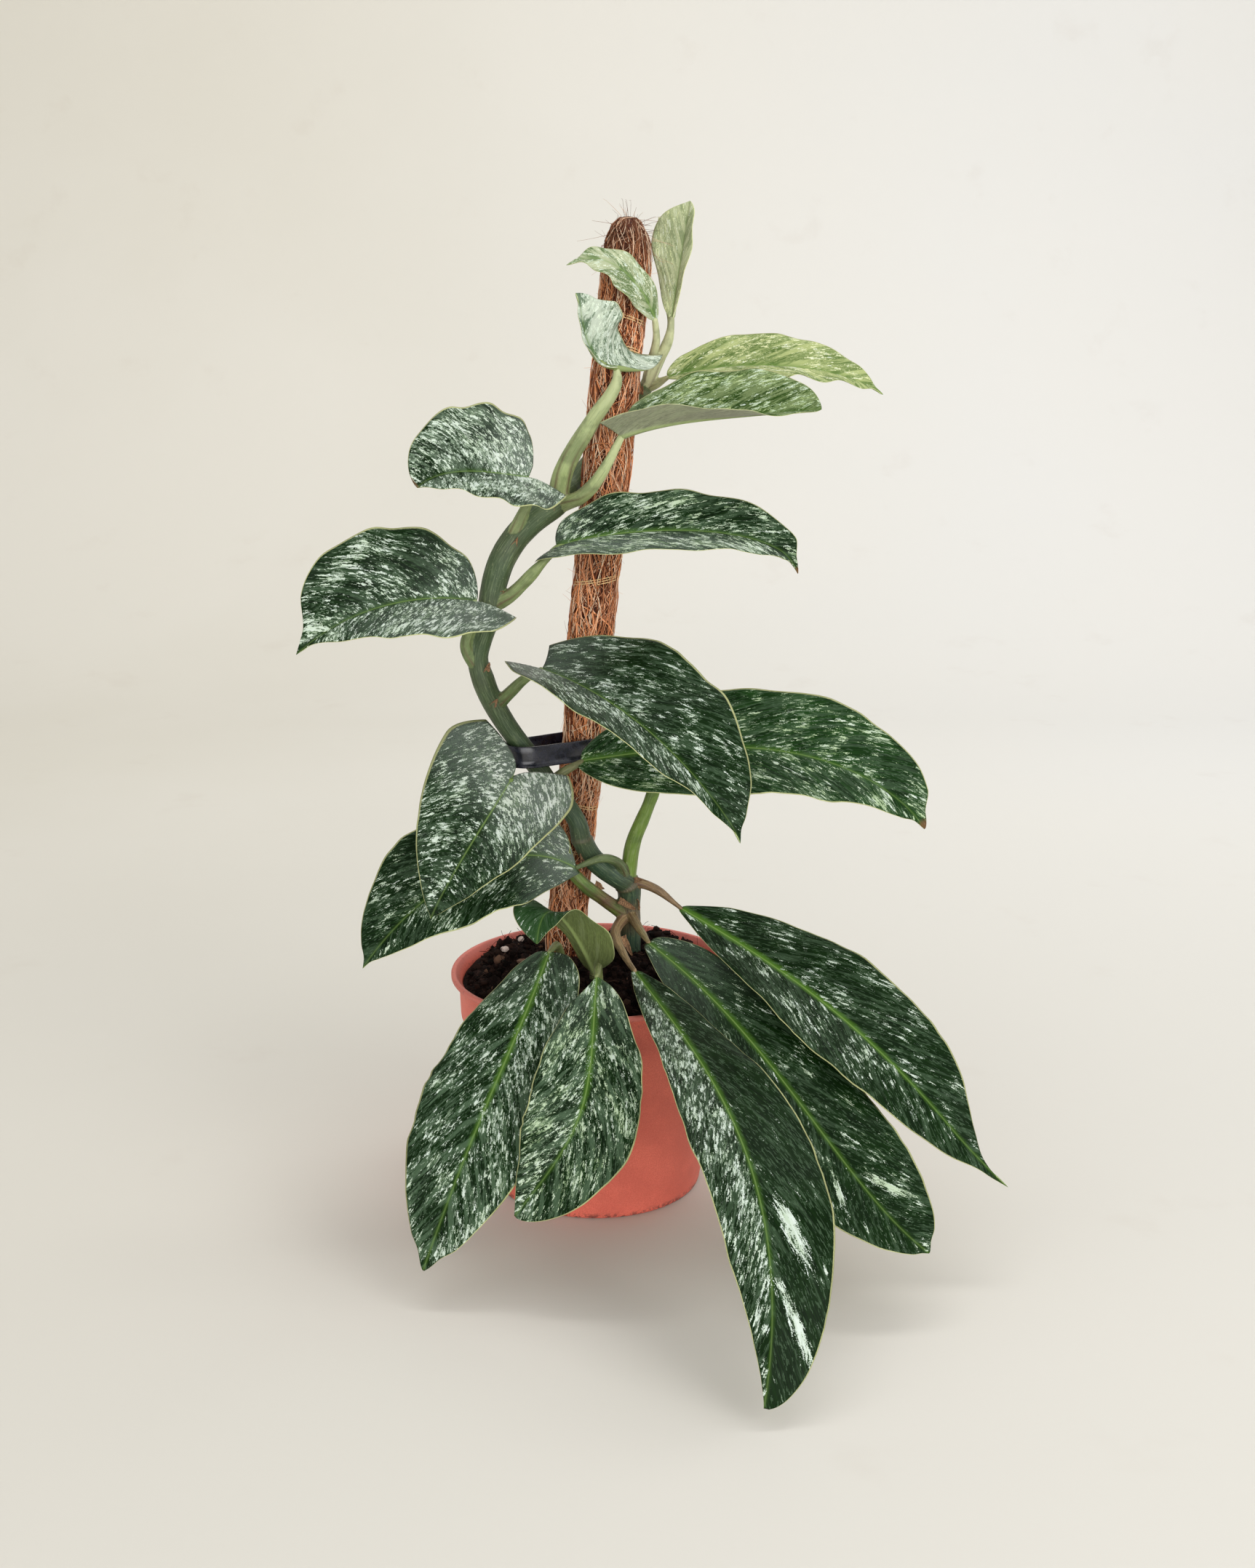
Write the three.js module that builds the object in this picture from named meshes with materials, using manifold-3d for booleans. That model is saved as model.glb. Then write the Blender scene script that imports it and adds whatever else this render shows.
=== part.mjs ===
// Climbing foliage plant on a coir pole, standing in a filled nursery pot.
// Lengths in millimetres, +Z up, the pot's underside on z = 0, the front of the plant faces -Y.

import * as THREE from "three";
import { mergeVertices } from "three/addons/utils/BufferGeometryUtils.js";
import Module from "manifold-3d";

const wasm = await Module();
wasm.setup();

// Shared fits
const clearance = 0.35;        // gap between pieces that touch in life
const mergeDistance = 0.001;
const roundSides = 48;         // sides of the pot and of the soil, kept alike so the gap stays even

// Pot
const potHeight = 130;
const potBaseRadius = 61.2;
const shoulderRadius = 78.8;
const shoulderHeight = 103.5;
const collarStep = 0.8;
const collarTopRadius = 80.5;
const lipRadius = 85;
const lipInnerRadius = 82;
const lipHeight = 3;
const lipRound = 0.8;
const potWall = 1.6;
const potFloor = 2;

// Soil
const soilRimHeight = 122.5;
const soilCrown = 9;           // how much higher the middle is
const soilSlope = 3;           // rise of the back rim over the middle
const soilLump = 1.1;
const soilRings = [0.14, 0.3, 0.45, 0.59, 0.72, 0.84, 0.93, 1];
const soilHeaps = [
  { x: -52, y: 30, height: 9, spread: 17 },
  { x: 37, y: 46, height: 8, spread: 17 },
  { x: 14, y: 12, height: 5, spread: 14 },
];

// Coir pole: axis points with the radius at each
const poleSides = 24;
const polePath = [
  { at: [-29, 20, 30], radius: 11 },
  { at: [-19, 16, 138], radius: 11 },
  { at: [-16.8, 16, 166], radius: 10.5 },
  { at: [-13, 15, 203], radius: 10.9 },
  { at: [-9.7, 14, 236], radius: 11.5 },
  { at: [-6.9, 13, 266], radius: 11.2 },
  { at: [-2.8, 10, 326], radius: 12 },
  { at: [1.5, 9, 367], radius: 12.3 },
  { at: [7, 7, 423], radius: 12.8 },
  { at: [12.5, 5, 478], radius: 12.6 },
  { at: [17.4, 3, 527], radius: 12.7 },
  { at: [18, 2.6, 536], radius: 11.9 },
  { at: [18.3, 2.3, 544], radius: 9.2 },
  { at: [18.5, 2.1, 549], radius: 5.4 },
];
const poleTop = [18.6, 2, 551.5];

// Clip that ties the stem to the pole
const clipBottom = 254.5;
const clipHeight = 12;
const clipWall = 1.5;
const clipPoleCentre = [-7.4, 13.4];
const clipPoleInside = 12.6;
const clipStemCentre = [-39, -9.2];
const clipStemInside = 11.3;
const clipArcSteps = 14;
const clipBandHeight = 1.2;    // thin raised edge along the foot of the clip
const clipBandReach = 0.7;

// Stem, with the radius at each point
const stemSides = 12;
const stalkSides = 9;
const spanSteps = 2;
const stalkSwell = 1.03;       // the rounded end of a stalk against a ball of the same radius
const stemPath = [
  { at: [19.5, 14, 108], radius: 6.2 },
  { at: [19.5, 14, 138.6], radius: 6.5 },
  { at: [19.1, 12, 161.8], radius: 6.5 },
  { at: [17.8, 9, 178.3], radius: 7 },
  { at: [10.6, 5, 184.3], radius: 6.5 },
  { at: [-2, 1, 196], radius: 6 },
  { at: [-8.1, -3, 208], radius: 5.8 },
  { at: [-11.3, -5, 220.1], radius: 5.5 },
  { at: [-34.5, -8, 254.1], radius: 5.5 },
  { at: [-52.7, -12, 282.1], radius: 6 },
  { at: [-62.1, -16, 303.4], radius: 6.5 },
  { at: [-64.6, -17, 315.8], radius: 6 },
  { at: [-59.8, -18, 333.4], radius: 5.8 },
  { at: [-55.9, -18, 352.2], radius: 6.8 },
  { at: [-49.7, -16, 371.9], radius: 7.2 },
  { at: [-36.6, -12, 388.5], radius: 7.5 },
  { at: [-21, -2, 400.3], radius: 7.5 },
  { at: [-12.4, 20, 407.6], radius: 6 },
  { at: [4.7, 30, 430.5], radius: 5.5 },
  { at: [17.8, 30, 446.5], radius: 5.2 },
  { at: [27.5, 24, 460.5], radius: 5 },
];

// Shoots of the stem that carry no blade in view
const growingTip = [
  { at: [27.5, 24, 460.5], radius: 4 },
  { at: [38, 19, 482], radius: 3 },
  { at: [41.7, 17, 495.6], radius: 2.2 },
  { at: [36.9, 18, 518.7], radius: 1.9 },
  { at: [34, 18, 539.6], radius: 1.4 },
  { at: [35.1, 16, 551.5], radius: 0.7 },
];
const hiddenStalk = [
  { at: [17.8, 9, 180], radius: 5 },
  { at: [21.2, 6, 203.4], radius: 4.5 },
  { at: [27, 3, 219.4], radius: 4.1 },
  { at: [32.8, 1, 235], radius: 3.7 },
  { at: [35.2, 0, 247.2], radius: 3.3 },
];

// Leaves. rib: four points along the midrib, base to tip; face: the way the upper side looks.
// A value in brackets is one for each half of the blade, the left half first as seen from the tip.
// half: width, lift: fold out of flat in degrees, wide: where the half is widest, neck: width at the base,
// full and point: how round the base and the tip are, lobe: how far the base reaches back.
// stalk: the points between the stem and the blade, with the radius at the stem and at the blade.
const bladeThickness = 1;
const bladeColumns = 3;
const bladeRowLength = 15;
const fewestRows = 9;
const mostRows = 15;
const leaves = [
  { name: "leaf_spear", color: 0x9db684,
    rib: [[42, 8, 498], [45, 4, 518], [48, 0, 538], [51, -4, 558]], face: [-0.5, -0.8, 0.1],
    half: [19, 8], lift: [8, 30], wide: [0.62, 0.6], neck: 0.15, full: 1.6, point: [1.1, 0.6],
    stalk: [[27.5, 24, 460.5], [34, 18, 474], [40.5, 12, 487]], stalkRadius: [4, 2.2] },
  { name: "leaf_crown", color: 0xa9bb95,
    rib: [[33, -4, 497], [25, -12, 512], [10, -20, 525], [-12, -26, 526]], face: [-0.1, -0.8, 0.6],
    half: [11, 9], lift: [8, 10], wide: 0.45, neck: 0.2,
    stalk: [[27.5, 24, 460.5], [30.5, 16, 474], [33.5, 4, 487]], stalkRadius: [3, 2] },
  { name: "leaf_silver", color: 0x8f9c94,
    rib: [[13, -14, 473], [1, -24, 478], [-5, -30, 492], [-7, -32, 508]], face: [0.3, -0.9, 0.3],
    half: [4, 23], lift: [50, 5], wide: [0.4, 0.6], lobe: [0, 0.62], lean: [0, -0.28], heart: [0, 1],
    neck: [0.5, 0.75], point: [0.9, 0.35],
    stalk: [[-20.9, -4, 400.5], [-15.4, -10, 420.5], [-1, -15, 444], [12, -15, 464]],
    stalkRadius: [6.3, 2.4] },
  { name: "leaf_lime", color: 0x7f9f6a,
    rib: [[40, 16, 467], [77, 8, 473], [120, -2, 471], [155, -14, 458]], face: [0, -0.6, 0.8],
    half: [18.5, 18], lift: [35, 20], wide: 0.38, neck: 0.3, point: 1.5,
    stalk: [[27.5, 24, 460.5], [34, 20.5, 463.5]], stalkRadius: [3.2, 2] },
  { name: "leaf_keel", color: 0x44583f,
    rib: [[14, -20, 436], [46, -26, 444], [84, -30, 448], [120, -36, 451]], face: [0, -0.55, 0.85],
    half: [27, 18], lift: [40, 85], wide: [0.5, 0.3], lobe: [-0.03, 0.05], neck: [0.35, 0.75],
    flat: [0.3, 0.9], point: [0.65, 1],
    stalk: [[-21, -2, 398], [-6, -15, 405], [5, -20, 418]], stalkRadius: [4.5, 2.8] },
  { name: "leaf_round", color: 0x466b48,
    rib: [[-35, -24, 415], [-53, -36, 418], [-73, -52, 419], [-90, -66, 412]], face: [0, -0.8, 0.6],
    half: [37, 35], lift: [27, 36], wide: [0.25, 0.48], lobe: [0.22, 0.03], neck: [0.5, 0.5],
    heart: [0.6, 0.3], point: [1.1, 0.6], sweep: [0.05, -0.09],
    stalk: [[-46.5, -16, 378], [-40, -19, 392], [-35, -21, 404]], stalkRadius: [4, 2.2] },
  { name: "leaf_broad", color: 0x456c47,
    rib: [[-63.6, -31, 348.6], [-87.5, -46, 352.5], [-119.7, -62, 347.3], [-151, -76, 329]],
    face: [0, -0.8, 0.6],
    half: [40, 41], lift: [28, 30], wide: [0.25, 0.6], lobe: [0.19, 0], lean: [0.07, 0],
    neck: [0.45, 0.12], heart: [0.5, 0], full: [2, 1.5], point: [1.5, 1.1], taper: [2, 3],
    sweep: [0.05, -0.14],
    stalk: [[-62, -16, 305], [-70.7, -22, 323], [-66, -24, 338]], stalkRadius: [4, 2.4] },
  { name: "leaf_long", color: 0x3e6242,
    rib: [[-20, -30, 378], [13, -38, 386], [67, -44, 387], [107, -50, 371]], face: [0, -0.65, 0.76],
    half: [23, 24], lift: [30, 22], wide: [0.38, 0.35], lobe: [0, 0.09], lean: [0, -0.02],
    heart: [0, 0.7], neck: [0.35, 0.45], point: [0.7, 1.15],
    stalk: [[-56, -18, 345], [-45, -22, 352], [-34, -26, 363]], stalkRadius: [4.4, 2.5] },
  { name: "leaf_mantle", color: 0x4f7750,
    rib: [[-29, -30, 312], [7, -70, 302], [43, -105, 279], [75, -122, 240]], face: [0.35, -0.6, 0.7],
    half: [47, 37], lift: [26, 22], wide: [0.3, 0.22], lobe: [0.06, 0.1], heart: [0, 0.5],
    neck: [0.35, 0.35], point: [0.95, 1.7],
    stalk: [[-56, -13, 288], [-48, -18, 296], [-39, -24, 305]], stalkRadius: [4, 2.4] },
  { name: "leaf_hook", color: 0x3f6040,
    rib: [[-8, -14, 257], [53, -22, 266], [121, -34, 263], [180, -52, 229]], face: [0.1, -0.6, 0.8],
    half: [36, 37], lift: [25, 3], wide: [0.5, 0.33], lobe: [0, 0.01], neck: 0.25, point: [0.62, 1],
    stalk: [[-29, -7.5, 245.5], [-25, -15, 246], [-17.5, -16.5, 251.5]], stalkRadius: [3.4, 2.2] },
  { name: "leaf_heart", color: 0x5a8a5c,
    rib: [[-46, -40, 252], [-60, -62, 232], [-74, -80, 211], [-86, -92, 189]], face: [0.1, -0.85, 0.5],
    half: [37, 44], lift: [4, 10], wide: [0.1, 0.1], lobe: [0.2, 0.27], heart: [0.7, 0.9],
    neck: [0.72, 0.66], point: [1.1, 1.15], taper: [1.2, 1.45],
    stalk: [[18.5, 11, 158], [3.8, 4, 170.5], [-8.3, -2, 182], [-20.8, -3, 197.7], [-33.1, -5, 220.9],
      [-40, -14, 240], [-43.5, -27, 249]], stalkRadius: [4.4, 2.4] },
  { name: "leaf_wing", color: 0x4a7048,
    rib: [[-11, -14, 194], [-50, -34, 206], [-91, -52, 189], [-127, -66, 152]], face: [-0.1, -0.75, 0.65],
    half: [33, 38], lift: [5, 5], wide: [0.33, 0.5], lobe: [0.02, -0.06], neck: [0.12, 0.42],
    point: [1.3, 1.2],
    stalk: [[17.8, 8, 180], [12.8, -2, 194], [3.5, -10, 199]], stalkRadius: [3.2, 2.2] },
  { name: "leaf_curled", color: 0x7c8760, ownStalk: "stalk_curled",
    rib: [[-2, -24, 136], [-9, -38, 158], [-22, -56, 181], [-31, -72, 168]], face: [0, 0, 1],
    half: [22, 20], lift: 10, wide: [0.35, 0.72], full: [2, 1.3],
    stalk: [[-2, -17, 104], [-2, -18, 122]], stalkRadius: [3, 2.4] },
  { name: "leaf_front_left", color: 0x55814f, ownStalk: "stalk_front_left",
    rib: [[-25.7, -41, 153.4], [-42.5, -96, 122.2], [-61.7, -131, 83.8], [-87, -158, 20.6]],
    face: [0, -0.75, 0.65],
    half: [35, 36], lift: [10, -6], wide: [0.45, 0.5], neck: [0.5, 0.3], point: [0.75, 0.8],
    stalk: [[-18, -12, 104], [-19.5, -16, 138], [-22, -21, 150]], stalkRadius: [3, 2.4] },
  { name: "leaf_over_rim", color: 0x55814f, ownStalk: "stalk_over_rim",
    rib: [[1.2, -67, 148.2], [-1.6, -120, 115.6], [-11.4, -144, 88.3], [-40, -154, 49.2]],
    face: [0, -0.8, 0.6],
    half: [32, 29], lift: [17, 15], wide: [0.5, 0.42], lobe: [-0.03, -0.08], neck: [0.3, 0.35],
    full: 2.2, point: [0.6, 0.95],
    stalk: [[2, -38, 104], [2, -42, 136], [1.6, -48, 147]], stalkRadius: [2.6, 2.2] },
  { name: "leaf_tongue", color: 0x3c633f,
    rib: [[22, -40, 141.5], [57.3, -131, 121.2], [81.3, -212, 85], [80, -265, 10]], face: [0.2, -0.7, 0.7],
    half: [34, 31], lift: [0, 20], wide: [0.5, 0.45], neck: 0.15, full: 1.6, point: [0.5, 1.35],
    stalk: [[18.5, 12, 160], [11, -4, 153], [15, -17, 145]], stalkRadius: [3.4, 2.2] },
  { name: "leaf_low_right", color: 0x3f6540,
    rib: [[29.9, -16.5, 150.5], [87.6, -88.5, 114.8], [130, -142, 73], [170, -172, 38]],
    face: [0.2, -0.7, 0.7],
    half: [33.5, 36], lift: [8, 12], wide: 0.5, neck: [0.35, 0.2], full: [2.5, 2], point: [0.7, 1.2],
    stalk: [[18.5, 12, 162], [23, 1, 156.5]], stalkRadius: [3.5, 2.2] },
  { name: "leaf_far_right", color: 0x3d6341,
    rib: [[49, 0, 166], [109.3, -53, 141.5], [161.9, -97, 106.9], [215.5, -127, 48]],
    face: [0.2, -0.65, 0.75],
    half: [37, 33], lift: [8, 12], wide: [0.36, 0.42], neck: 0.14, full: [2, 1.6], point: [2.4, 1.2],
    taper: [3, 2],
    stalk: [[17.8, 9, 181], [33.9, 5, 176.5]], stalkRadius: [3.4, 2] },
];

// Loose grains lying on the soil
const perliteGrains = [
  { name: "perlite_left", at: [-55, 17, 135.4], size: [3.4, 3, 2.7], turn: 0.4 },
  { name: "perlite_right", at: [-46, 27, 138.3], size: [3.2, 2.8, 2.8], turn: 1.3 },
];
const perliteRoughness = 0.12;
const barkSize = [12, 4.2, 2.4];
const barkAt = [-41, 0, 133.5];
const barkTurn = [0.12, 0.1, 0.35];
const barkTaper = 0.72;

// Closed bodies

function point(list) {
  return new THREE.Vector3(list[0], list[1], list[2]);
}

function closedGeometry(points, faces) {
  const geometry = new THREE.BufferGeometry();
  const numbers = points.flatMap((p) => [p.x, p.y, p.z]);
  geometry.setAttribute("position", new THREE.Float32BufferAttribute(numbers, 3));
  geometry.setIndex(faces.flat());
  return geometry;
}

function toBody(geometry) {
  const plain = geometry.clone();
  plain.deleteAttribute("normal");
  plain.deleteAttribute("uv");
  const merged = mergeVertices(plain, mergeDistance);
  const mesh = new wasm.Mesh({
    numProp: 3,
    vertProperties: new Float32Array(merged.attributes.position.array),
    triVerts: new Uint32Array(merged.index.array),
  });
  return new wasm.Manifold(mesh);
}

function fromBody(body) {
  const mesh = body.getMesh();
  const geometry = new THREE.BufferGeometry();
  geometry.setAttribute("position", new THREE.Float32BufferAttribute(mesh.vertProperties, 3));
  geometry.setIndex(new THREE.Uint32BufferAttribute(mesh.triVerts, 1));
  return geometry;
}

// Skin over a row of rings with the same number of points, closed by a centre point at each end.
function loft(rings, startCentre, endCentre) {
  const sides = rings[0].length;
  const points = rings.flat();
  const faces = [];
  for (let ring = 0; ring < rings.length - 1; ring += 1) {
    for (let side = 0; side < sides; side += 1) {
      const next = (side + 1) % sides;
      const a = ring * sides + side;
      const b = ring * sides + next;
      const c = (ring + 1) * sides + next;
      const d = (ring + 1) * sides + side;
      faces.push([a, b, c], [a, c, d]);
    }
  }
  const start = points.push(startCentre) - 1;
  const end = points.push(endCentre) - 1;
  const lastRing = (rings.length - 1) * sides;
  for (let side = 0; side < sides; side += 1) {
    const next = (side + 1) % sides;
    faces.push([start, next, side]);
    faces.push([end, lastRing + side, lastRing + next]);
  }
  return closedGeometry(points, faces);
}

function circle(centre, across, up, radius, sides) {
  const ring = [];
  for (let side = 0; side < sides; side += 1) {
    const angle = (2 * Math.PI * side) / sides;
    const spoke = across.clone().multiplyScalar(radius * Math.cos(angle));
    spoke.addScaledVector(up, radius * Math.sin(angle));
    ring.push(spoke.add(centre));
  }
  return ring;
}

function levelCircle(radius, height) {
  const centre = new THREE.Vector3(0, 0, height);
  return circle(centre, new THREE.Vector3(1, 0, 0), new THREE.Vector3(0, 1, 0), radius, roundSides);
}

// Round limb along a smooth path; a rounded far end stays behind the last point.
function limb(path, sides, rounded) {
  const curve = new THREE.CatmullRomCurve3(path.map((stop) => point(stop.at)), false, "centripetal");
  const steps = (path.length - 1) * spanSteps;
  const rings = [];
  let across = new THREE.Vector3(0, 1, 0);
  let endCentre = null;
  for (let step = 0; step <= steps; step += 1) {
    const t = step / steps;
    const span = Math.min(Math.floor(step / spanSteps), path.length - 2);
    const part = step / spanSteps - span;
    const radius = path[span].radius * (1 - part) + path[span + 1].radius * part;
    const along = curve.getTangent(t);
    const centre = curve.getPoint(t);
    across = across.clone().addScaledVector(along, -across.dot(along)).normalize();
    const up = new THREE.Vector3().crossVectors(along, across);
    if (step === steps && rounded) {
      const shoulder = centre.clone().addScaledVector(along, -0.6 * radius);
      const brow = centre.clone().addScaledVector(along, -0.15 * radius);
      rings.push(circle(shoulder, across, up, radius, sides));
      rings.push(circle(brow, across, up, 0.7 * radius, sides));
    } else {
      rings.push(circle(centre, across, up, radius, sides));
    }
    endCentre = centre;
  }
  return loft(rings, point(path[0].at), endCentre);
}

// The same limb, wider and deeper by the gap, to cut its hole
function holeCutter(path, sides, gap) {
  const foot = point(path[0].at);
  const down = foot.clone().sub(point(path[1].at)).setLength(gap);
  const deeper = { at: foot.add(down).toArray(), radius: path[0].radius };
  const stops = [deeper, ...path.slice(1)];
  return limb(stops.map((stop) => ({ at: stop.at, radius: stop.radius + gap })), sides, false);
}

// Leaf shape

function pair(value, fallback) {
  const chosen = value === undefined ? fallback : value;
  return Array.isArray(chosen) ? chosen : [chosen, chosen];
}

// Cubic that passes through four evenly timed points
function ribCurve(stops) {
  const p = stops.map(point);
  const mix = (a, b, c, d) => new THREE.Vector3()
    .addScaledVector(p[0], a / 6)
    .addScaledVector(p[1], b / 6)
    .addScaledVector(p[2], c / 6)
    .addScaledVector(p[3], d / 6);
  return new THREE.CubicBezierCurve3(p[0], mix(-5, 18, -9, 2), mix(2, -9, 18, -5), p[3]);
}

function leafShape(leaf) {
  const curve = ribCurve(leaf.rib);
  return {
    curve,
    length: curve.getLength(),
    face: point(leaf.face).normalize(),
    half: pair(leaf.half),
    lift: pair(leaf.lift, 10),
    wide: pair(leaf.wide, 0.4),
    neck: pair(leaf.neck, 0.15),
    full: pair(leaf.full, 2),
    point: pair(leaf.point, 0.9),
    taper: pair(leaf.taper, 2),
    sweep: pair(leaf.sweep, 0.08),
    lobe: pair(leaf.lobe, 0),
    lean: pair(leaf.lean, 0),
    heart: pair(leaf.heart, 0),
    flat: pair(leaf.flat, 0.3),
  };
}

function ribFrame(shape, u) {
  const along = shape.curve.getTangent(u);
  const out = shape.face.clone().addScaledVector(along, -shape.face.dot(along)).normalize();
  const side = new THREE.Vector3().crossVectors(along, out);
  return { origin: shape.curve.getPoint(u), along, out, side };
}

// Point of the blade at u along the rib and v out towards the edge
// which is 0 for the left half and 1 for the right
function bladePoint(shape, which, u, v) {
  const frame = ribFrame(shape, u);
  const wide = shape.wide[which];
  const before = Math.max(0, (wide - u) / wide);
  const after = Math.max(0, (u - wide) / (1 - wide));
  const swelling = 1 - (1 - shape.neck[which]) * before ** shape.full[which];
  const closing = Math.max(0, 1 - after ** shape.taper[which]) ** shape.point[which];
  const width = u < wide ? swelling : closing;
  const back = (1 - u) ** 4;
  const heart = shape.heart[which];
  const bow = shape.sweep[which] * 4 * u * (1 - u) * v ** 1.5;
  const along = shape.length * (bow - shape.lobe[which] * back * v ** (1.4 - 0.7 * heart));
  const across = shape.length * shape.lean[which] * back * v;
  const fold = THREE.MathUtils.degToRad(shape.lift[which] * (1 - shape.flat[which] * u));
  const reach = shape.half[which] * width * v ** (1 + 1.5 * heart * back);
  const sign = which === 1 ? 1 : -1;
  return frame.origin
    .addScaledVector(frame.along, along)
    .addScaledVector(frame.side, sign * reach * Math.cos(fold) + across)
    .addScaledVector(frame.out, reach * Math.sin(fold));
}

function bladeNormal(shape, which, u, v) {
  const nudge = 0.004;
  const low = Math.max(0, u - nudge);
  const high = Math.min(1 - nudge, u + nudge);
  const near = Math.max(0.02, v - nudge);
  const far = near + 2 * nudge;
  const along = bladePoint(shape, which, high, v).sub(bladePoint(shape, which, low, v));
  const outward = bladePoint(shape, which, u, far).sub(bladePoint(shape, which, u, near));
  if (which === 0) outward.negate();
  return outward.cross(along).normalize();
}

// Upper side minus half a thickness and lower side plus half a thickness, split along the same diagonals
function makeBlade(leaf) {
  const shape = leafShape(leaf);
  const wanted = Math.round(shape.length / bladeRowLength);
  const rows = Math.min(mostRows, Math.max(fewestRows, wanted));
  const width = 2 * bladeColumns + 1;
  const points = [];
  for (const layer of [0.5, -0.5]) {
    for (let row = 0; row < rows; row += 1) {
      const even = row / rows;
      const u = 0.5 * even + 0.25 * (1 - Math.cos(Math.PI * even));
      for (let column = -bladeColumns; column <= bladeColumns; column += 1) {
        const which = column > 0 ? 1 : 0;
        const v = Math.abs(column) / bladeColumns;
        const normal = bladeNormal(shape, which, u, v);
        if (column === 0) normal.add(bladeNormal(shape, 1, u, 0)).normalize();
        const place = bladePoint(shape, which, u, v);
        points.push(place.addScaledVector(normal, layer * bladeThickness));
      }
    }
    const tip = ribFrame(shape, 1);
    points.push(tip.origin.addScaledVector(tip.out, layer * bladeThickness));
  }
  const faces = [];
  const under = rows * width + 1;
  const tipTop = rows * width;
  const both = (a, b, c) => faces.push([a, b, c], [under + a, under + c, under + b]);
  for (let row = 0; row < rows - 1; row += 1) {
    for (let column = 0; column < width - 1; column += 1) {
      const a = row * width + column;
      both(a, a + 1, a + 1 + width);
      both(a, a + 1 + width, a + width);
    }
  }
  const lastRow = (rows - 1) * width;
  for (let column = 0; column < width - 1; column += 1) {
    both(lastRow + column, lastRow + column + 1, tipTop);
  }
  const edge = [];
  for (let column = 0; column < width; column += 1) edge.push(column);
  for (let row = 1; row < rows; row += 1) edge.push(row * width + width - 1);
  edge.push(tipTop);
  for (let row = rows - 1; row > 0; row -= 1) edge.push(row * width);
  for (let place = 0; place < edge.length; place += 1) {
    const a = edge[place];
    const b = edge[(place + 1) % edge.length];
    faces.push([b, a, under + a], [b, under + a, under + b]);
  }
  return closedGeometry(points, faces);
}

// Where a stalk stops: as near the base of the rib as its rounded end can come to the blade
function stalkEnd(leaf) {
  const shape = leafShape(leaf);
  const base = ribFrame(shape, 0).origin;
  const before = point(leaf.stalk[leaf.stalk.length - 1]);
  const back = before.clone().sub(base).normalize();
  const radius = leaf.stalkRadius[1];
  const needed = stalkSwell * radius + clearance;
  const blade = [];
  for (const which of [0, 1]) {
    for (let u = 0; u <= 0.25; u += 0.02) {
      for (let v = 0; v <= 1; v += 0.05) {
        const normal = bladeNormal(shape, which, u, v).multiplyScalar(bladeThickness / 2);
        const middle = bladePoint(shape, which, u, v);
        blade.push(middle.clone().add(normal), middle.clone().sub(normal));
      }
    }
  }
  const end = new THREE.Vector3();
  const core = new THREE.Vector3();
  for (let away = 0; away < base.distanceTo(before); away += 0.1) {
    end.copy(base).addScaledVector(back, away);
    core.copy(end).addScaledVector(back, radius);
    if (blade.every((spot) => spot.distanceTo(core) > needed)) break;
  }
  return end;
}

function stalkPath(leaf) {
  const end = stalkEnd(leaf);
  const stops = [...leaf.stalk, [end.x, end.y, end.z]];
  const [thick, thin] = leaf.stalkRadius;
  return stops.map((at, index) => {
    const part = index / (stops.length - 1);
    return { at, radius: thick + (thin - thick) * Math.sqrt(part) };
  });
}

// Pieces

function makePot() {
  const innerShoulder = shoulderRadius - potWall;
  const profile = [
    [potBaseRadius - 1.4, 0],
    [potBaseRadius, 1.4],
    [shoulderRadius, shoulderHeight],
    [shoulderRadius + collarStep, shoulderHeight + collarStep],
    [collarTopRadius, potHeight - lipHeight - 0.5],
    [lipRadius - lipRound, potHeight - lipHeight],
    [lipRadius, potHeight - lipHeight + lipRound],
    [lipRadius, potHeight - lipRound],
    [lipRadius - lipRound, potHeight],
    [lipInnerRadius + lipRound, potHeight],
    [lipInnerRadius, potHeight - lipRound],
    [collarTopRadius - potWall, potHeight - lipHeight - 1.5],
    [innerShoulder + collarStep, shoulderHeight + collarStep],
    [innerShoulder, shoulderHeight],
    [potBaseRadius - potWall + 0.2, potFloor + 1.2],
    [potBaseRadius - potWall - 1, potFloor],
  ];
  const rings = profile.map(([radius, height]) => levelCircle(radius, height));
  return loft(rings, new THREE.Vector3(0, 0, 0), new THREE.Vector3(0, 0, potFloor));
}

function soilHeight(x, y) {
  const share = Math.min(1, Math.hypot(x, y) / collarTopRadius);
  const inside = 1 - share ** 6;
  let height = soilRimHeight + soilCrown * (1 - share * share) + (soilSlope * y) / collarTopRadius;
  for (const heap of soilHeaps) {
    const away = ((x - heap.x) ** 2 + (y - heap.y) ** 2) / (heap.spread * heap.spread);
    height += heap.height * inside * Math.exp(-away);
  }
  const ripple = Math.sin(0.37 * x + 1.3) * Math.cos(0.31 * y + 0.4) + Math.sin(0.21 * (x + y) + 0.12 * x);
  return height + soilLump * ripple * inside;
}

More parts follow.
